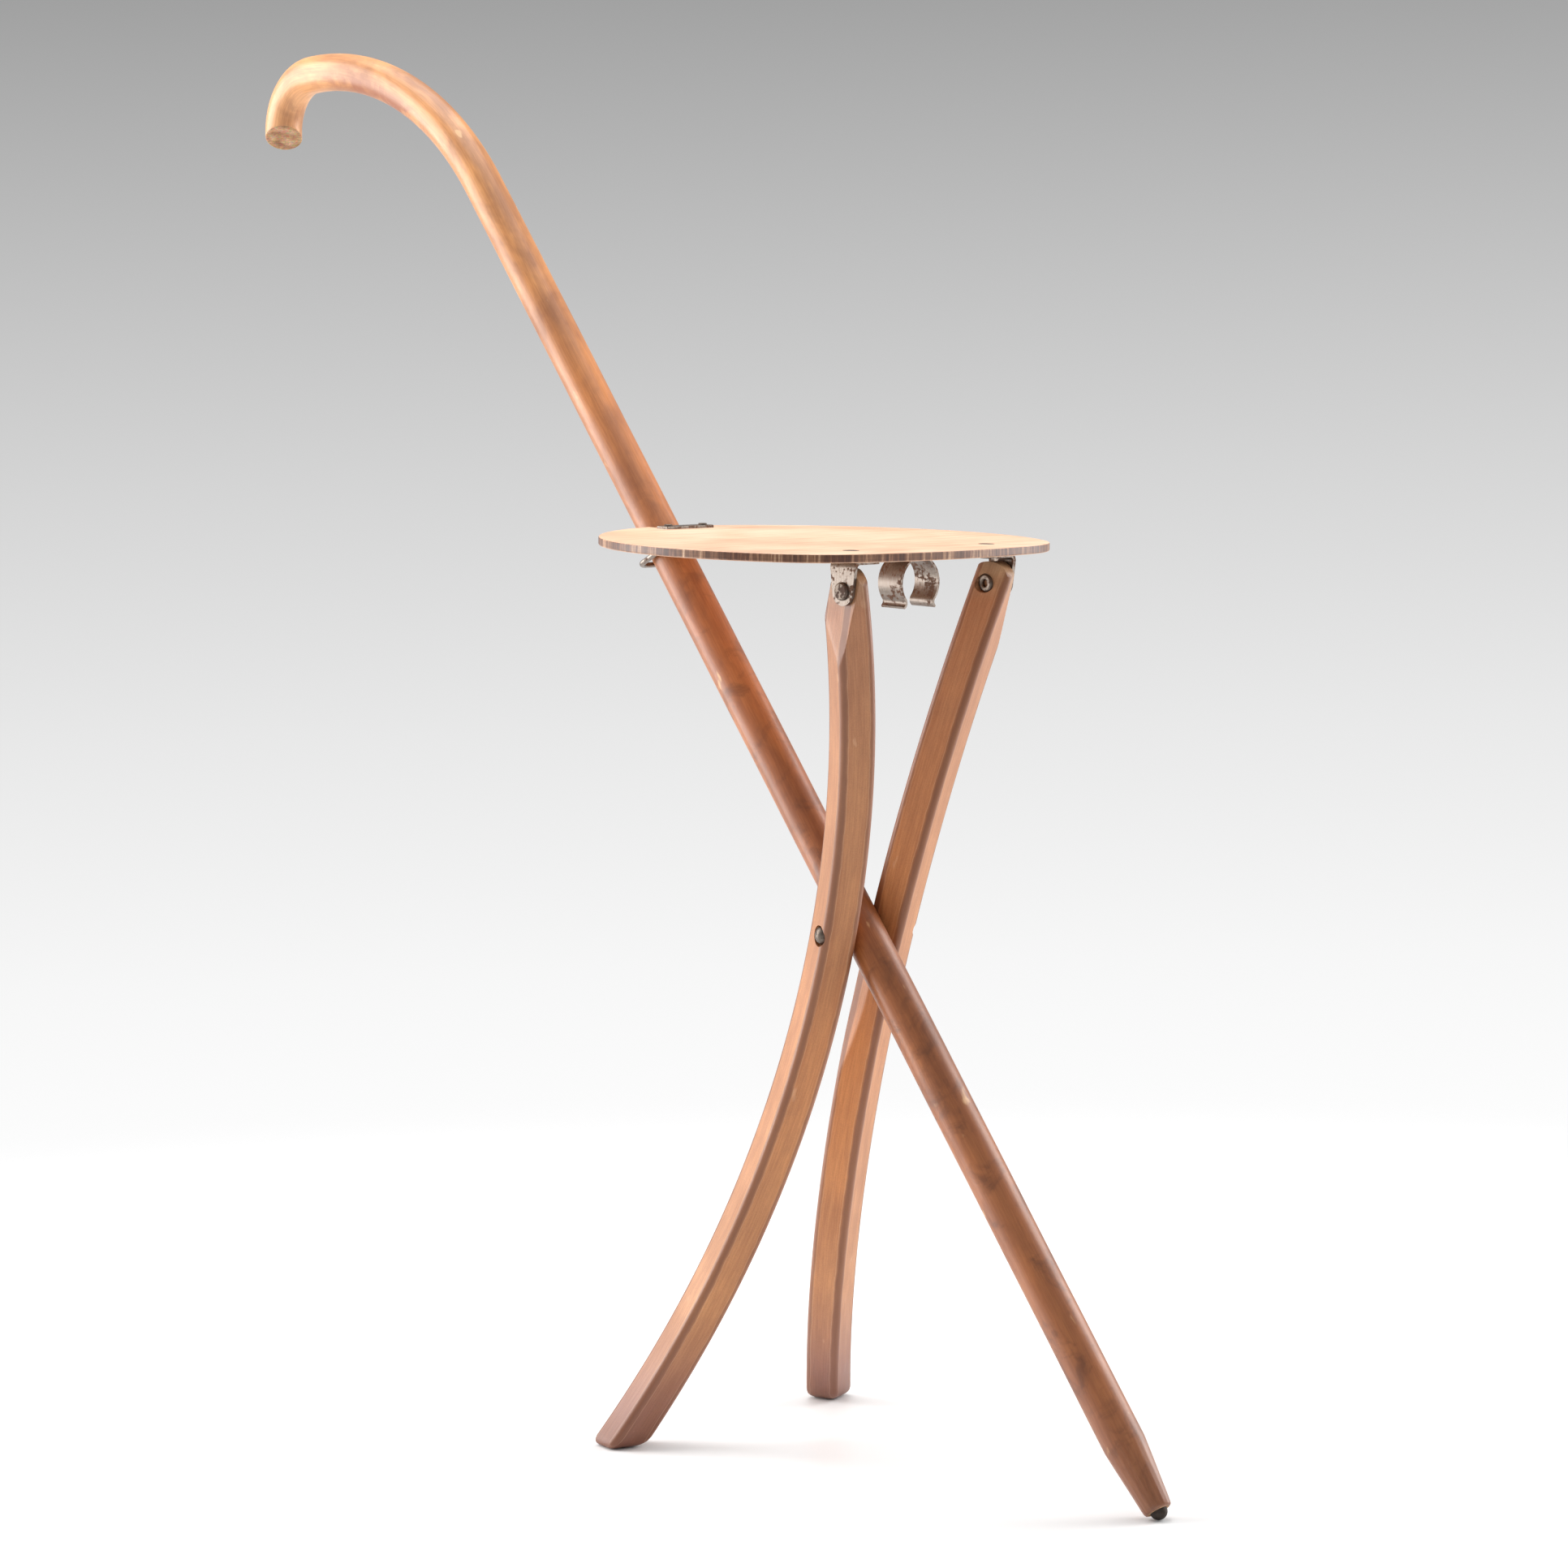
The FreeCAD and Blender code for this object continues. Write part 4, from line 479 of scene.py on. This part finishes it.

# %% [markdown]
# ## Steam-bent beech, waxed and worn
# Beech is a close, even wood. Along the bar it shows fine brown dashes, the rays, and
# slow bands where it took the stain. The stick's tone is painted lighter at the handle and
# browner towards the ground, a painted light from above. The grain pattern is fine noise,
# squeezed across the bar and stretched along it, read from the place that each vertex
# had in the straight bar. Rays are about 0.4 mm wide on the real wood and are drawn
# 0.8 mm wide here so that they show.

# %% Beech along a bar: colour, rays, stains and wax
def beech(tree, place, lengthwise_tone, dark, light, height):
    """Colour and grain of beech: a lengthwise tone darkened by clouds and rays, then lightened by pale
    wear.
    """
    fibres = add(tree, "Mapping", {"Scale": (1.0, 1.0, 0.045)}, {"Vector": place})
    grain = add(tree, "TexNoise", {"Scale": 1250.0, "Detail": 5.0, "Roughness": 0.6}, {"Vector": fibres})
    bands = add(tree, "TexNoise", {"Scale": 260.0, "Detail": 3.0, "Roughness": 0.55}, {"Vector": fibres})
    slow = add(tree, "Mapping", {"Scale": (1.0, 1.0, 0.45)}, {"Vector": place})
    cloud = add(tree, "TexNoise", {"Scale": 42.0, "Detail": 4.0, "Roughness": 0.62, "Distortion": 0.4},
                {"Vector": slow})
    spots = add(tree, "TexNoise", {"Scale": 130.0, "Detail": 2.0, "Roughness": 0.5}, {"Vector": slow})
    cloudy = add(tree, "ValToRGB", {"stops": [(0.36, 1.0), (0.62, 0.0)]}, {"Fac": cloud})
    ray = add(tree, "ValToRGB", {"stops": [(0.42, 1.0), (0.60, 0.0)]}, {"Fac": grain})
    band = add(tree, "ValToRGB", {"stops": [(0.40, 1.0), (0.62, 0.0)]}, {"Fac": bands})
    scuff = add(tree, "ValToRGB", {"stops": [(0.70, 0.0), (0.76, 1.0)]}, {"Fac": spots})
    cloud_part = add(tree, "Math", {"operation": "MULTIPLY", 1: height["cloud"]}, {0: cloudy})
    ray_part = add(tree, "Math", {"operation": "MULTIPLY", 1: height["ray"]}, {0: ray})
    band_part = add(tree, "Math", {"operation": "MULTIPLY", 1: height["band"]}, {0: band})
    scuff_part = add(tree, "Math", {"operation": "MULTIPLY", 1: height["scuff"]}, {0: scuff})
    stained = add(tree, "Mix", {"data_type": "RGBA", 7: dark}, {0: cloud_part, 6: lengthwise_tone})
    banded = add(tree, "Mix", {"data_type": "RGBA", "blend_type": "MULTIPLY", 7: "#c79a78"},
                 {0: band_part, 6: stained.outputs[2]})
    rayed = add(tree, "Mix", {"data_type": "RGBA", "blend_type": "MULTIPLY", 7: "#a8795a"},
                {0: ray_part, 6: banded.outputs[2]})
    worn = add(tree, "Mix", {"data_type": "RGBA", 7: light}, {0: scuff_part, 6: rayed.outputs[2]})
    return worn.outputs[2], grain, cloud


def wax(tree, shader, colour, grain, cloud, gloss=(0.34, 0.55)):
    """A thin hand-rubbed wax: satin roughness that follows the stains, and the grain as relief."""
    rough = add(tree, "MapRange", {"From Min": 0.3, "From Max": 0.7, "To Min": gloss[1],
                                   "To Max": gloss[0]}, {"Value": cloud})
    relief = add(tree, "Bump", {"Strength": 0.25, "Distance": 0.0002}, {"Height": grain})
    tree.links.new(colour, shader.inputs["Base Color"])
    tree.links.new(rough.outputs[0], shader.inputs["Roughness"])
    tree.links.new(relief.outputs[0], shader.inputs["Normal"])
    shader.inputs["IOR"].default_value = 1.5
    shader.inputs["Coat Weight"].default_value = 0.22
    shader.inputs["Coat Roughness"].default_value = 0.28


# %% [markdown]
# ## The stick's own colours
# The tone goes from brown at the ground to honey at the handle, a painted light from above. The
# lower half has dark smudges from mud and feet, and the inner side of the crook, on its -Y
# side, is painted darker, a painted shade. One noise breaks up both, so that neither has a clean edge.

# %% The stick's own beech, from the ground to the handle
BAR_LENGTH = 1.008
stick_beech, tree, shader = material("steam_bent_beech_waxed")
place = add(tree, "Attribute", {"attribute_name": "grain_place"}).outputs["Vector"]
axes = add(tree, "SeparateXYZ", links={0: place})
up_the_stick = add(tree, "Math", {"operation": "DIVIDE", 1: BAR_LENGTH}, {0: axes.outputs["Z"]})
# Painted light from above: the ramp turns lighter towards the handle and browner towards the ground.
lengthwise_tone = add(tree, "ValToRGB", {"stops": [
    (0.0, "#8a5a3c"), (0.05, "#a8693e"), (0.30, "#ad693b"), (0.50, "#bd7543"), (0.62, "#cb844c"),
    (0.78, "#e2a062"), (0.90, "#e4a468"), (1.0, "#eab07a")]}, {"Fac": up_the_stick})
colour, grain, cloud = beech(tree, place, lengthwise_tone, "#7c4526", "#e6bb85",
                             {"cloud": 0.62, "ray": 0.22, "band": 0.14, "scuff": 0.6})
smudges = add(tree, "TexNoise", {"Scale": 70.0, "Detail": 4.0, "Roughness": 0.65, "Distortion": 0.6},
              {"Vector": place})
smudge = add(tree, "ValToRGB", {"stops": [(0.50, 0.0), (0.66, 1.0)]}, {"Fac": smudges})
low_down = add(tree, "ValToRGB", {"stops": [(0.05, 0.75), (0.45, 0.6), (0.60, 0.15), (0.7, 0.0)]},
               {"Fac": up_the_stick})
low_smudge = add(tree, "Math", {"operation": "MULTIPLY"}, {0: smudge, 1: low_down})
smudged = add(tree, "Mix", {"data_type": "RGBA", 7: "#6b3d24"}, {0: low_smudge, 6: colour})
# Painted shade: the inner, -Y side of the crook is darkened to #94532f from 0.79 to 0.955 of the bar's
# length, mottled by the smudge noise.
crook_shade_span = add(tree, "ValToRGB", {"stops": [(0.79, 0.0), (0.84, 1.0), (0.90, 0.9), (0.955, 0.0)]},
                  {"Fac": up_the_stick})
inner = add(tree, "VectorMath", {"operation": "DOT_PRODUCT", 1: (-0.66, -0.75, 0.0)}, {0: place})
inner_side = add(tree, "MapRange", {"From Min": 0.0055, "From Max": 0.0100},
                 {"Value": inner.outputs["Value"]})
held = add(tree, "Math", {"operation": "MULTIPLY"}, {0: crook_shade_span, 1: inner_side})
mottle = add(tree, "ValToRGB", {"stops": [(0.36, 0.25), (0.56, 1.0)]}, {"Fac": smudges})
crook_shade_mottled = add(tree, "Math", {"operation": "MULTIPLY"}, {0: held, 1: mottle})
crook_shaded = add(tree, "Mix", {"data_type": "RGBA", 7: "#94532f"},
              {0: crook_shade_mottled, 6: smudged.outputs[2]})
wax(tree, shader, crook_shaded.outputs[2], grain, cloud)
print(stick_beech.name, "has", len(tree.nodes), "nodes")

# %% [markdown]
# ## Sawn end grain
# The crook's end and the tip were sawn across the fibres and never polished. End grain
# drinks stain, so it is dull, with fine saw lines and pores about a millimetre apart.

# %% End grain for the sawn faces
sawn_beech, tree, shader = material("sawn_beech_end_grain")
place = add(tree, "TexCoord").outputs["Object"]
pores = add(tree, "TexVoronoi", {"Scale": 1100.0}, {"Vector": place})
patches = add(tree, "TexNoise", {"Scale": 160.0, "Detail": 4.0}, {"Vector": place})
teeth = add(tree, "TexWave", {"Scale": 420.0, "Distortion": 6.0, "Detail": 2.0, "bands_direction": "Z"},
            {"Vector": place})
tone = add(tree, "ValToRGB", {"stops": [(0.3, "#9c6c4a"), (0.5, "#c6966c"), (0.72, "#dcb48c")]},
           {"Fac": patches})
pored = add(tree, "Mix", {"data_type": "RGBA", "blend_type": "MULTIPLY", 0: 0.35},
            {6: tone, 7: pores.outputs["Color"]})
lined = add(tree, "Mix", {"data_type": "RGBA", "blend_type": "MULTIPLY", 0: 0.2},
            {6: pored.outputs[2], 7: teeth.outputs["Color"]})
relief = add(tree, "Bump", {"Strength": 0.4, "Distance": 0.0003}, {"Height": teeth.outputs["Fac"]})
tree.links.new(lined.outputs[2], shader.inputs["Base Color"])
tree.links.new(relief.outputs[0], shader.inputs["Normal"])
shader.inputs["Roughness"].default_value = 0.75
walking_stick.data.materials.append(stick_beech)
walking_stick.data.materials.append(sawn_beech)
print("stick finishes:", [m.name for m in walking_stick.data.materials])

# %% [markdown]
# ## The legs' beech
# A texture laid in the world's directions would run out of the side of a bent bar, so the
# legs' beech reads the place that each fibre has in the straight bar. The rounded arrises are
# painted darker, a painted shade; a thin pale line beside them is partly wear and partly a
# painted highlight. The feet are darker and redder and the tops are bare. Fine specks all
# over are the fibres' ends.

# %% Beech for the bent legs
LEG_HEIGHT = 0.437
bent_beech, tree, shader = material("bow_bent_beech_waxed")
place = add(tree, "Attribute", {"attribute_name": "grain_place"}).outputs["Vector"]
axes = add(tree, "SeparateXYZ", links={0: place})
world_place = add(tree, "TexCoord").outputs["Object"]
height = add(tree, "SeparateXYZ", links={0: world_place})
up_the_leg = add(tree, "Math", {"operation": "DIVIDE", 1: LEG_HEIGHT}, {0: height.outputs["Z"]})
lengthwise_tone = add(tree, "ValToRGB", {"stops": [
    (0.0, "#6f4236"), (0.05, "#94604a"), (0.16, "#cb8d58"), (0.45, "#cc8850"), (0.75, "#c58654"),
    (0.955, "#bd8259"), (0.99, "#b89a78")]}, {"Fac": up_the_leg})
sides = [add(tree, "Math", {"operation": "ABSOLUTE"}, {0: axes.outputs[n]}) for n in ("X", "Y")]
corner = add(tree, "Math", {"operation": "ADD"}, {0: sides[0], 1: sides[1]})
ragged = add(tree, "TexNoise", {"Scale": 90.0, "Detail": 3.0}, {"Vector": place})
wavy = add(tree, "MapRange", {"From Min": 0.3, "From Max": 0.7, "To Min": -0.0003, "To Max": 0.0003},
           {"Value": ragged})
edge = add(tree, "Math", {"operation": "ADD"}, {0: corner, 1: wavy})
# Painted shade: the rounded arrises, where |x| + |y| across the section is largest, are darkened towards
# #77452a.
dark = add(tree, "MapRange", {"From Min": 0.0145, "From Max": 0.0158, "To Min": 0.0, "To Max": 0.75},
           {"Value": edge})
near_edge = add(tree, "MapRange", {"From Min": 0.0136, "From Max": 0.0160}, {"Value": edge})
# A thin pale line just inside the arrises, partly wear and partly a painted highlight.
rubbed = add(tree, "ValToRGB", {"stops": [(0.0, 0.0), (0.40, 0.0), (0.5, 1.0), (0.60, 0.0)]},
             {"Fac": near_edge})
colour, grain, cloud = beech(tree, place, lengthwise_tone, "#96603e", "#deb08a",
                             {"cloud": 0.4, "ray": 0.22, "band": 0.16, "scuff": 0.35})
specks = add(tree, "TexNoise", {"Scale": 1500.0, "Detail": 3.0, "Roughness": 0.7},
             {"Vector": world_place})
speckle = add(tree, "ValToRGB", {"stops": [(0.40, 0.72), (0.56, 1.0)]}, {"Fac": specks})
specked = add(tree, "Mix", {"data_type": "RGBA", "blend_type": "MULTIPLY", 0: 0.35},
              {6: colour, 7: speckle})
arris_shaded = add(tree, "Mix", {"data_type": "RGBA", 7: "#77452a"}, {0: dark, 6: specked.outputs[2]})
arris_wear_and_highlight = add(tree, "Math", {"operation": "MULTIPLY", 1: 0.22}, {0: rubbed})
finished = add(tree, "Mix", {"data_type": "RGBA", 7: "#e8c4a2"}, {0: arris_wear_and_highlight, 6: arris_shaded.outputs[2]})
wax(tree, shader, finished.outputs[2], grain, cloud, (0.40, 0.58))
for leg in legs.values():
    leg.data.materials.clear()
    leg.data.materials.append(bent_beech)
print("legs dressed in", bent_beech.name)

# %% [markdown]
# ## Beech plywood for the seat
# The board is three plies pressed flat and sawn to a shield. Its face was varnished and is
# worn to a pale peach with faint grain from side to side; its edge is dark brown, and
# there the fibres' ends and the plies' joints show as light upright streaks. The board's
# own height tells face from edge.

# %% The plywood face and its stained edge
BOARD_UNDERSIDE, BOARD_FACE = 0.0144, 0.0186
seat_ply, tree, shader = material("pressed_beech_plywood_varnished")
board = add(tree, "Mapping", {"vector_type": "TEXTURE", "Location": seat_frame.to_translation(),
                              "Rotation": seat_frame.to_euler("XYZ")},
            {"Vector": add(tree, "TexCoord").outputs["Object"]})
axes = add(tree, "SeparateXYZ", links={0: board})
lying = add(tree, "Mapping", {"Scale": (1.0, 0.05, 1.0)}, {"Vector": board})
face_grain = add(tree, "TexNoise", {"Scale": 420.0, "Detail": 5.0, "Roughness": 0.6}, {"Vector": lying})
face_cloud = add(tree, "TexNoise", {"Scale": 18.0, "Detail": 3.0, "Distortion": 0.6}, {"Vector": board})
face = add(tree, "ValToRGB", {"stops": [(0.32, "#e2b08f"), (0.5, "#ebc09f"), (0.68, "#f1ccae")]},
           {"Fac": face_cloud})
face_lines = add(tree, "ValToRGB", {"stops": [(0.40, "#d9b090"), (0.56, "#ffffff")]},
                 {"Fac": face_grain})
top_colour = add(tree, "Mix", {"data_type": "RGBA", "blend_type": "MULTIPLY", 0: 0.45},
                 {6: face, 7: face_lines})
upright = add(tree, "Mapping", {"Scale": (1.0, 1.0, 0.06)}, {"Vector": board})
streaks = add(tree, "TexNoise", {"Scale": 620.0, "Detail": 4.0, "Roughness": 0.65}, {"Vector": upright})
broad = add(tree, "TexNoise", {"Scale": 45.0, "Detail": 2.0}, {"Vector": upright})
edge_tone = add(tree, "ValToRGB", {"stops": [(0.38, "#6a4530"), (0.52, "#8f6549"), (0.60, "#b48a6a"),
                                             (0.68, "#dcba9a")]}, {"Fac": streaks})
edge_wear = add(tree, "ValToRGB", {"stops": [(0.42, "#9a7058"), (0.60, "#ffffff")]}, {"Fac": broad})
edge_colour = add(tree, "Mix", {"data_type": "RGBA", "blend_type": "MULTIPLY", 0: 0.8},
                  {6: edge_tone, 7: edge_wear})
level = add(tree, "MapRange", {"From Min": BOARD_UNDERSIDE, "From Max": BOARD_FACE},
            {"Value": axes.outputs["Z"]})
is_face = add(tree, "ValToRGB", {"stops": [
    (0.0, 1.0), (0.05, 0.55), (0.14, 0.0), (0.90, 0.0), (0.965, 1.0)]}, {"Fac": level})
ply_lines = add(tree, "ValToRGB", {"stops": [
    (0.30, 1.0), (0.34, 0.55), (0.38, 1.0), (0.64, 1.0), (0.68, 0.55), (0.72, 1.0)]}, {"Fac": level})
plied = add(tree, "Mix", {"data_type": "RGBA", "blend_type": "MULTIPLY", 0: 0.6},
            {6: edge_colour.outputs[2], 7: ply_lines})
board_colour = add(tree, "Mix", {"data_type": "RGBA"},
                   {0: is_face, 6: plied.outputs[2], 7: top_colour.outputs[2]})
relief = add(tree, "Bump", {"Strength": 0.2, "Distance": 0.0002}, {"Height": streaks})
tree.links.new(board_colour.outputs[2], shader.inputs["Base Color"])
tree.links.new(relief.outputs[0], shader.inputs["Normal"])
shader.inputs["Roughness"].default_value = 0.5
shader.inputs["Coat Weight"].default_value = 0.15
shader.inputs["Coat Roughness"].default_value = 0.35
nodes["seat_board"].material_slots[0].material = seat_ply
print(seat_ply.name, "has", len(tree.nodes), "nodes")

# %% [markdown]
# ## Old steel strip, wire and rivets
# The fittings were bent from cold-rolled strip and drawn wire and never plated, so they
# are grey-brown with rust freckles about a millimetre across that join up into stains, and
# fine lines along the rolling direction. Rust is not a metal: where it grows the shader
# turns to a rough brown dielectric.

# %% Steel with rust freckles
def steel(name, bare, rust, share, roughness):
    """Old bare steel: a metal colour, with rough brown rust where two noises agree."""
    made, tree, shader = material(name)
    place = add(tree, "TexCoord").outputs["Object"]
    freckles = add(tree, "TexNoise", {"Scale": 520.0, "Detail": 6.0, "Roughness": 0.7},
                   {"Vector": place})
    stains = add(tree, "TexNoise", {"Scale": 130.0, "Detail": 3.0}, {"Vector": place})
    rolled = add(tree, "Mapping", {"Scale": (1.0, 1.0, 0.12)}, {"Vector": place})
    lines = add(tree, "TexNoise", {"Scale": 1500.0, "Detail": 3.0}, {"Vector": rolled})
    sum_of = add(tree, "Math", {"operation": "ADD"}, {0: freckles, 1: stains})
    rusty = add(tree, "MapRange", {"From Min": share, "From Max": share + 0.09}, {"Value": sum_of})
    tone = add(tree, "Mix", {"data_type": "RGBA", "blend_type": "MULTIPLY", 6: bare, 7: "#b0a498"},
               {0: lines})
    colour = add(tree, "Mix", {"data_type": "RGBA", 7: rust}, {0: rusty, 6: tone.outputs[2]})
    metal = add(tree, "Math", {"operation": "SUBTRACT", 0: 1.0}, {1: rusty})
    rough = add(tree, "MapRange", {"To Min": roughness, "To Max": 0.8}, {"Value": rusty})
    relief = add(tree, "Bump", {"Strength": 0.3, "Distance": 0.00015}, {"Height": freckles})
    tree.links.new(colour.outputs[2], shader.inputs["Base Color"])
    tree.links.new(metal.outputs[0], shader.inputs["Metallic"])
    tree.links.new(rough.outputs[0], shader.inputs["Roughness"])
    tree.links.new(relief.outputs[0], shader.inputs["Normal"])
    return made


rolled_strip = steel("cold_rolled_steel_strip_aged", "#8d847d", "#62432f", 1.04, 0.38)
rivet_iron = steel("soft_rivet_steel_darkened", "#7a7068", "#4c372b", 1.04, 0.42)
drawn_wire = steel("drawn_steel_wire_tarnished", "#948b84", "#5d4335", 1.10, 0.34)
worn_stud = steel("hard_steel_stud_worn", "#4c4540", "#2c211b", 1.02, 0.5)
FINISH = {
    "left_bracket": rolled_strip, "right_bracket": rolled_strip, "spring_clip": rolled_strip,
    "cane_plate": rolled_strip, "pivot_rivet_washer": rolled_strip,
    "pivot_rivet": rivet_iron, "left_bracket_pin": rivet_iron, "right_bracket_pin": rivet_iron,
    "bracket_rivets": rivet_iron, "spring_clip_screw": rivet_iron, "cane_plate_rivets": rivet_iron,
    "bail": drawn_wire, "bail_staples": drawn_wire, "cane_tip_stud": worn_stud,
}
for node, finish in FINISH.items():
    for spot in nodes[node].material_slots:
        spot.material = finish
print("steel pieces dressed:", len(FINISH))

# %% [markdown]
# ## Floor and background
# The stool stands on a white studio floor that runs into a backdrop, white low down and
# mid grey at the top. A disc of matt white floor takes the shadow near the feet and fades
# out into the world behind it. It is a fifth of a millimetre below the feet, so that the
# two surfaces don't flicker where they touch.

# %% The floor disc
FLOOR_RADIUS, FADE_FROM, FADE_TO = 1.6, 0.42, 1.1
FLOOR_DROP = 0.0002
spokes = np.linspace(0, 2 * math.pi, 128, endpoint=False)
disc = np.stack([np.cos(spokes), np.sin(spokes), np.zeros_like(spokes)], -1) * FLOOR_RADIUS
disc[:, 2] = -FLOOR_DROP
floor_mesh = bpy.data.meshes.new("studio_floor")
floor_mesh.from_pydata(disc, [], [list(range(len(disc)))])
studio_floor = bpy.data.objects.new("studio_floor", floor_mesh)
bpy.context.collection.objects.link(studio_floor)
floor_paint, tree, shader = material("matt_white_floor_paint")
place = add(tree, "TexCoord").outputs["Object"]
away = add(tree, "VectorMath", {"operation": "LENGTH"}, {0: place})
shader.inputs["Base Color"].default_value = linear("#f4f4f4")
shader.inputs["Roughness"].default_value = 0.3
shader.inputs["Specular IOR Level"].default_value = 0.25
fade = add(tree, "MapRange", {"From Min": FADE_FROM, "From Max": FADE_TO,
                              "interpolation_type": "SMOOTHSTEP"}, {"Value": away.outputs["Value"]})
clear = add(tree, "BsdfTransparent")
edge = add(tree, "MixShader", links={0: fade, 1: shader, 2: clear})
output = next(n for n in tree.nodes if n.bl_idname == "ShaderNodeOutputMaterial")
tree.links.new(edge.outputs[0], output.inputs["Surface"])
floor_mesh.materials.append(floor_paint)
print("floor radius", FLOOR_RADIUS, "m, fading from", FADE_FROM, "m")

# %% [markdown]
# ## The room
# The photograph's backdrop is a smooth gradient, so the world gives it from the sine of the
# elevation of the direction looked in. The light that falls on the stool is an even white
# of its own strength, so that the backdrop can be changed without changing the light.

# %% The world: what is seen behind, and the soft light of the room
LOWEST, HIGHEST = math.sin(math.radians(-15.5)), math.sin(math.radians(6.5))
ROOM_STRENGTH = 0.5
world = bpy.data.worlds.new("studio")
bpy.context.scene.world = world
world.use_nodes = True
tree = world.node_tree
tree.nodes.clear()
direction = add(tree, "TexCoord").outputs["Generated"]
height = add(tree, "SeparateXYZ", links={0: direction})
rise = add(tree, "MapRange", {"From Min": LOWEST, "From Max": HIGHEST}, {"Value": height.outputs["Z"]})
sky = add(tree, "ValToRGB", {"stops": [
    (0.0, "#ffffff"), (0.24, "#ffffff"), (0.38, "#f7f7f7"), (0.53, "#e9e9e9"),
    (0.69, "#d5d5d5"), (0.845, "#bdbdbd"), (1.0, "#a0a0a0")]}, {"Fac": rise})
seen = add(tree, "Background", {"Strength": 1.0}, {"Color": sky})
room = add(tree, "Background", {"Strength": ROOM_STRENGTH, "Color": "#ffffff"})
path = add(tree, "LightPath")
glossy = add(tree, "Math", {"operation": "MAXIMUM"},
             {0: path.outputs["Is Camera Ray"], 1: path.outputs["Is Glossy Ray"]})
plain = add(tree, "Math", {"operation": "MAXIMUM"}, {0: glossy, 1: path.outputs["Is Transmission Ray"]})
chosen = add(tree, "MixShader", links={0: plain, 1: room, 2: seen})
add(tree, "OutputWorld", links={"Surface": chosen})
print("world nodes:", len(tree.nodes))

# %% [markdown]
# ## Camera
# The photograph was taken from the stool's right front, a little above the seat, with a
# long lens. The camera's place was solved from the stick, legs and board in the photo. Its
# axes are written out as a matrix: right, up and backwards.

# %% The camera at the photograph's angle
AZIMUTH, ELEVATION, ROLL = (math.radians(value) for value in (47.652, 4.54, -1.577))
CAMERA_PLACE, LENS, SENSOR = (1.58396, -1.3689, 0.4897), 94.67, 36.0
forward = -Vector((math.sin(AZIMUTH) * math.cos(ELEVATION),
                   -math.cos(AZIMUTH) * math.cos(ELEVATION), math.sin(ELEVATION)))
level_right = Vector((math.cos(AZIMUTH), math.sin(AZIMUTH), 0.0))
level_up = level_right.cross(forward)
right = math.cos(ROLL) * level_right + math.sin(ROLL) * level_up
upward = -math.sin(ROLL) * level_right + math.cos(ROLL) * level_up
camera_data = bpy.data.cameras.new("camera")
camera_data.lens = LENS
camera_data.sensor_width = SENSOR
camera_data.sensor_fit = "HORIZONTAL"
camera = bpy.data.objects.new("camera", camera_data)
bpy.context.collection.objects.link(camera)
turn = Matrix((right, upward, -forward)).transposed()
camera.matrix_world = Matrix.Translation(CAMERA_PLACE) @ turn.to_4x4()
bpy.context.scene.camera = camera
print("camera", tuple(round(v, 3) for v in camera.location), "lens", camera_data.lens, "mm")

# %% [markdown]
# ## Studio light
# The wood is bright along both sides and brown down the middle, which means a large soft
# light at each side, slightly behind the stool, and little light from the camera. A third
# soft light hangs overhead for the seat's face and the top of the crook.

# %% Three soft boxes
AIM = Vector((0.05, 0.0, 0.38))


def soft_box(name, place, width, height, watts):
    """A rectangular area light that looks at the middle of the stool."""
    lamp = bpy.data.lights.new(name, "AREA")
    lamp.shape = "RECTANGLE"
    lamp.size, lamp.size_y, lamp.energy = width, height, watts
    made = bpy.data.objects.new(name, lamp)
    bpy.context.collection.objects.link(made)
    turned = (AIM - Vector(place)).to_track_quat("-Z", "Y")
    made.matrix_world = Matrix.Translation(place) @ turned.to_matrix().to_4x4()


soft_box("left_box", (-1.15, -0.85, 0.75), 1.0, 1.7, 34.0)
soft_box("right_box", (0.75, 1.35, 0.75), 1.0, 1.7, 30.0)
soft_box("top_box", (-0.2, 0.1, 1.75), 1.2, 1.2, 19.0)
bpy.context.scene.view_settings.view_transform = "Standard"
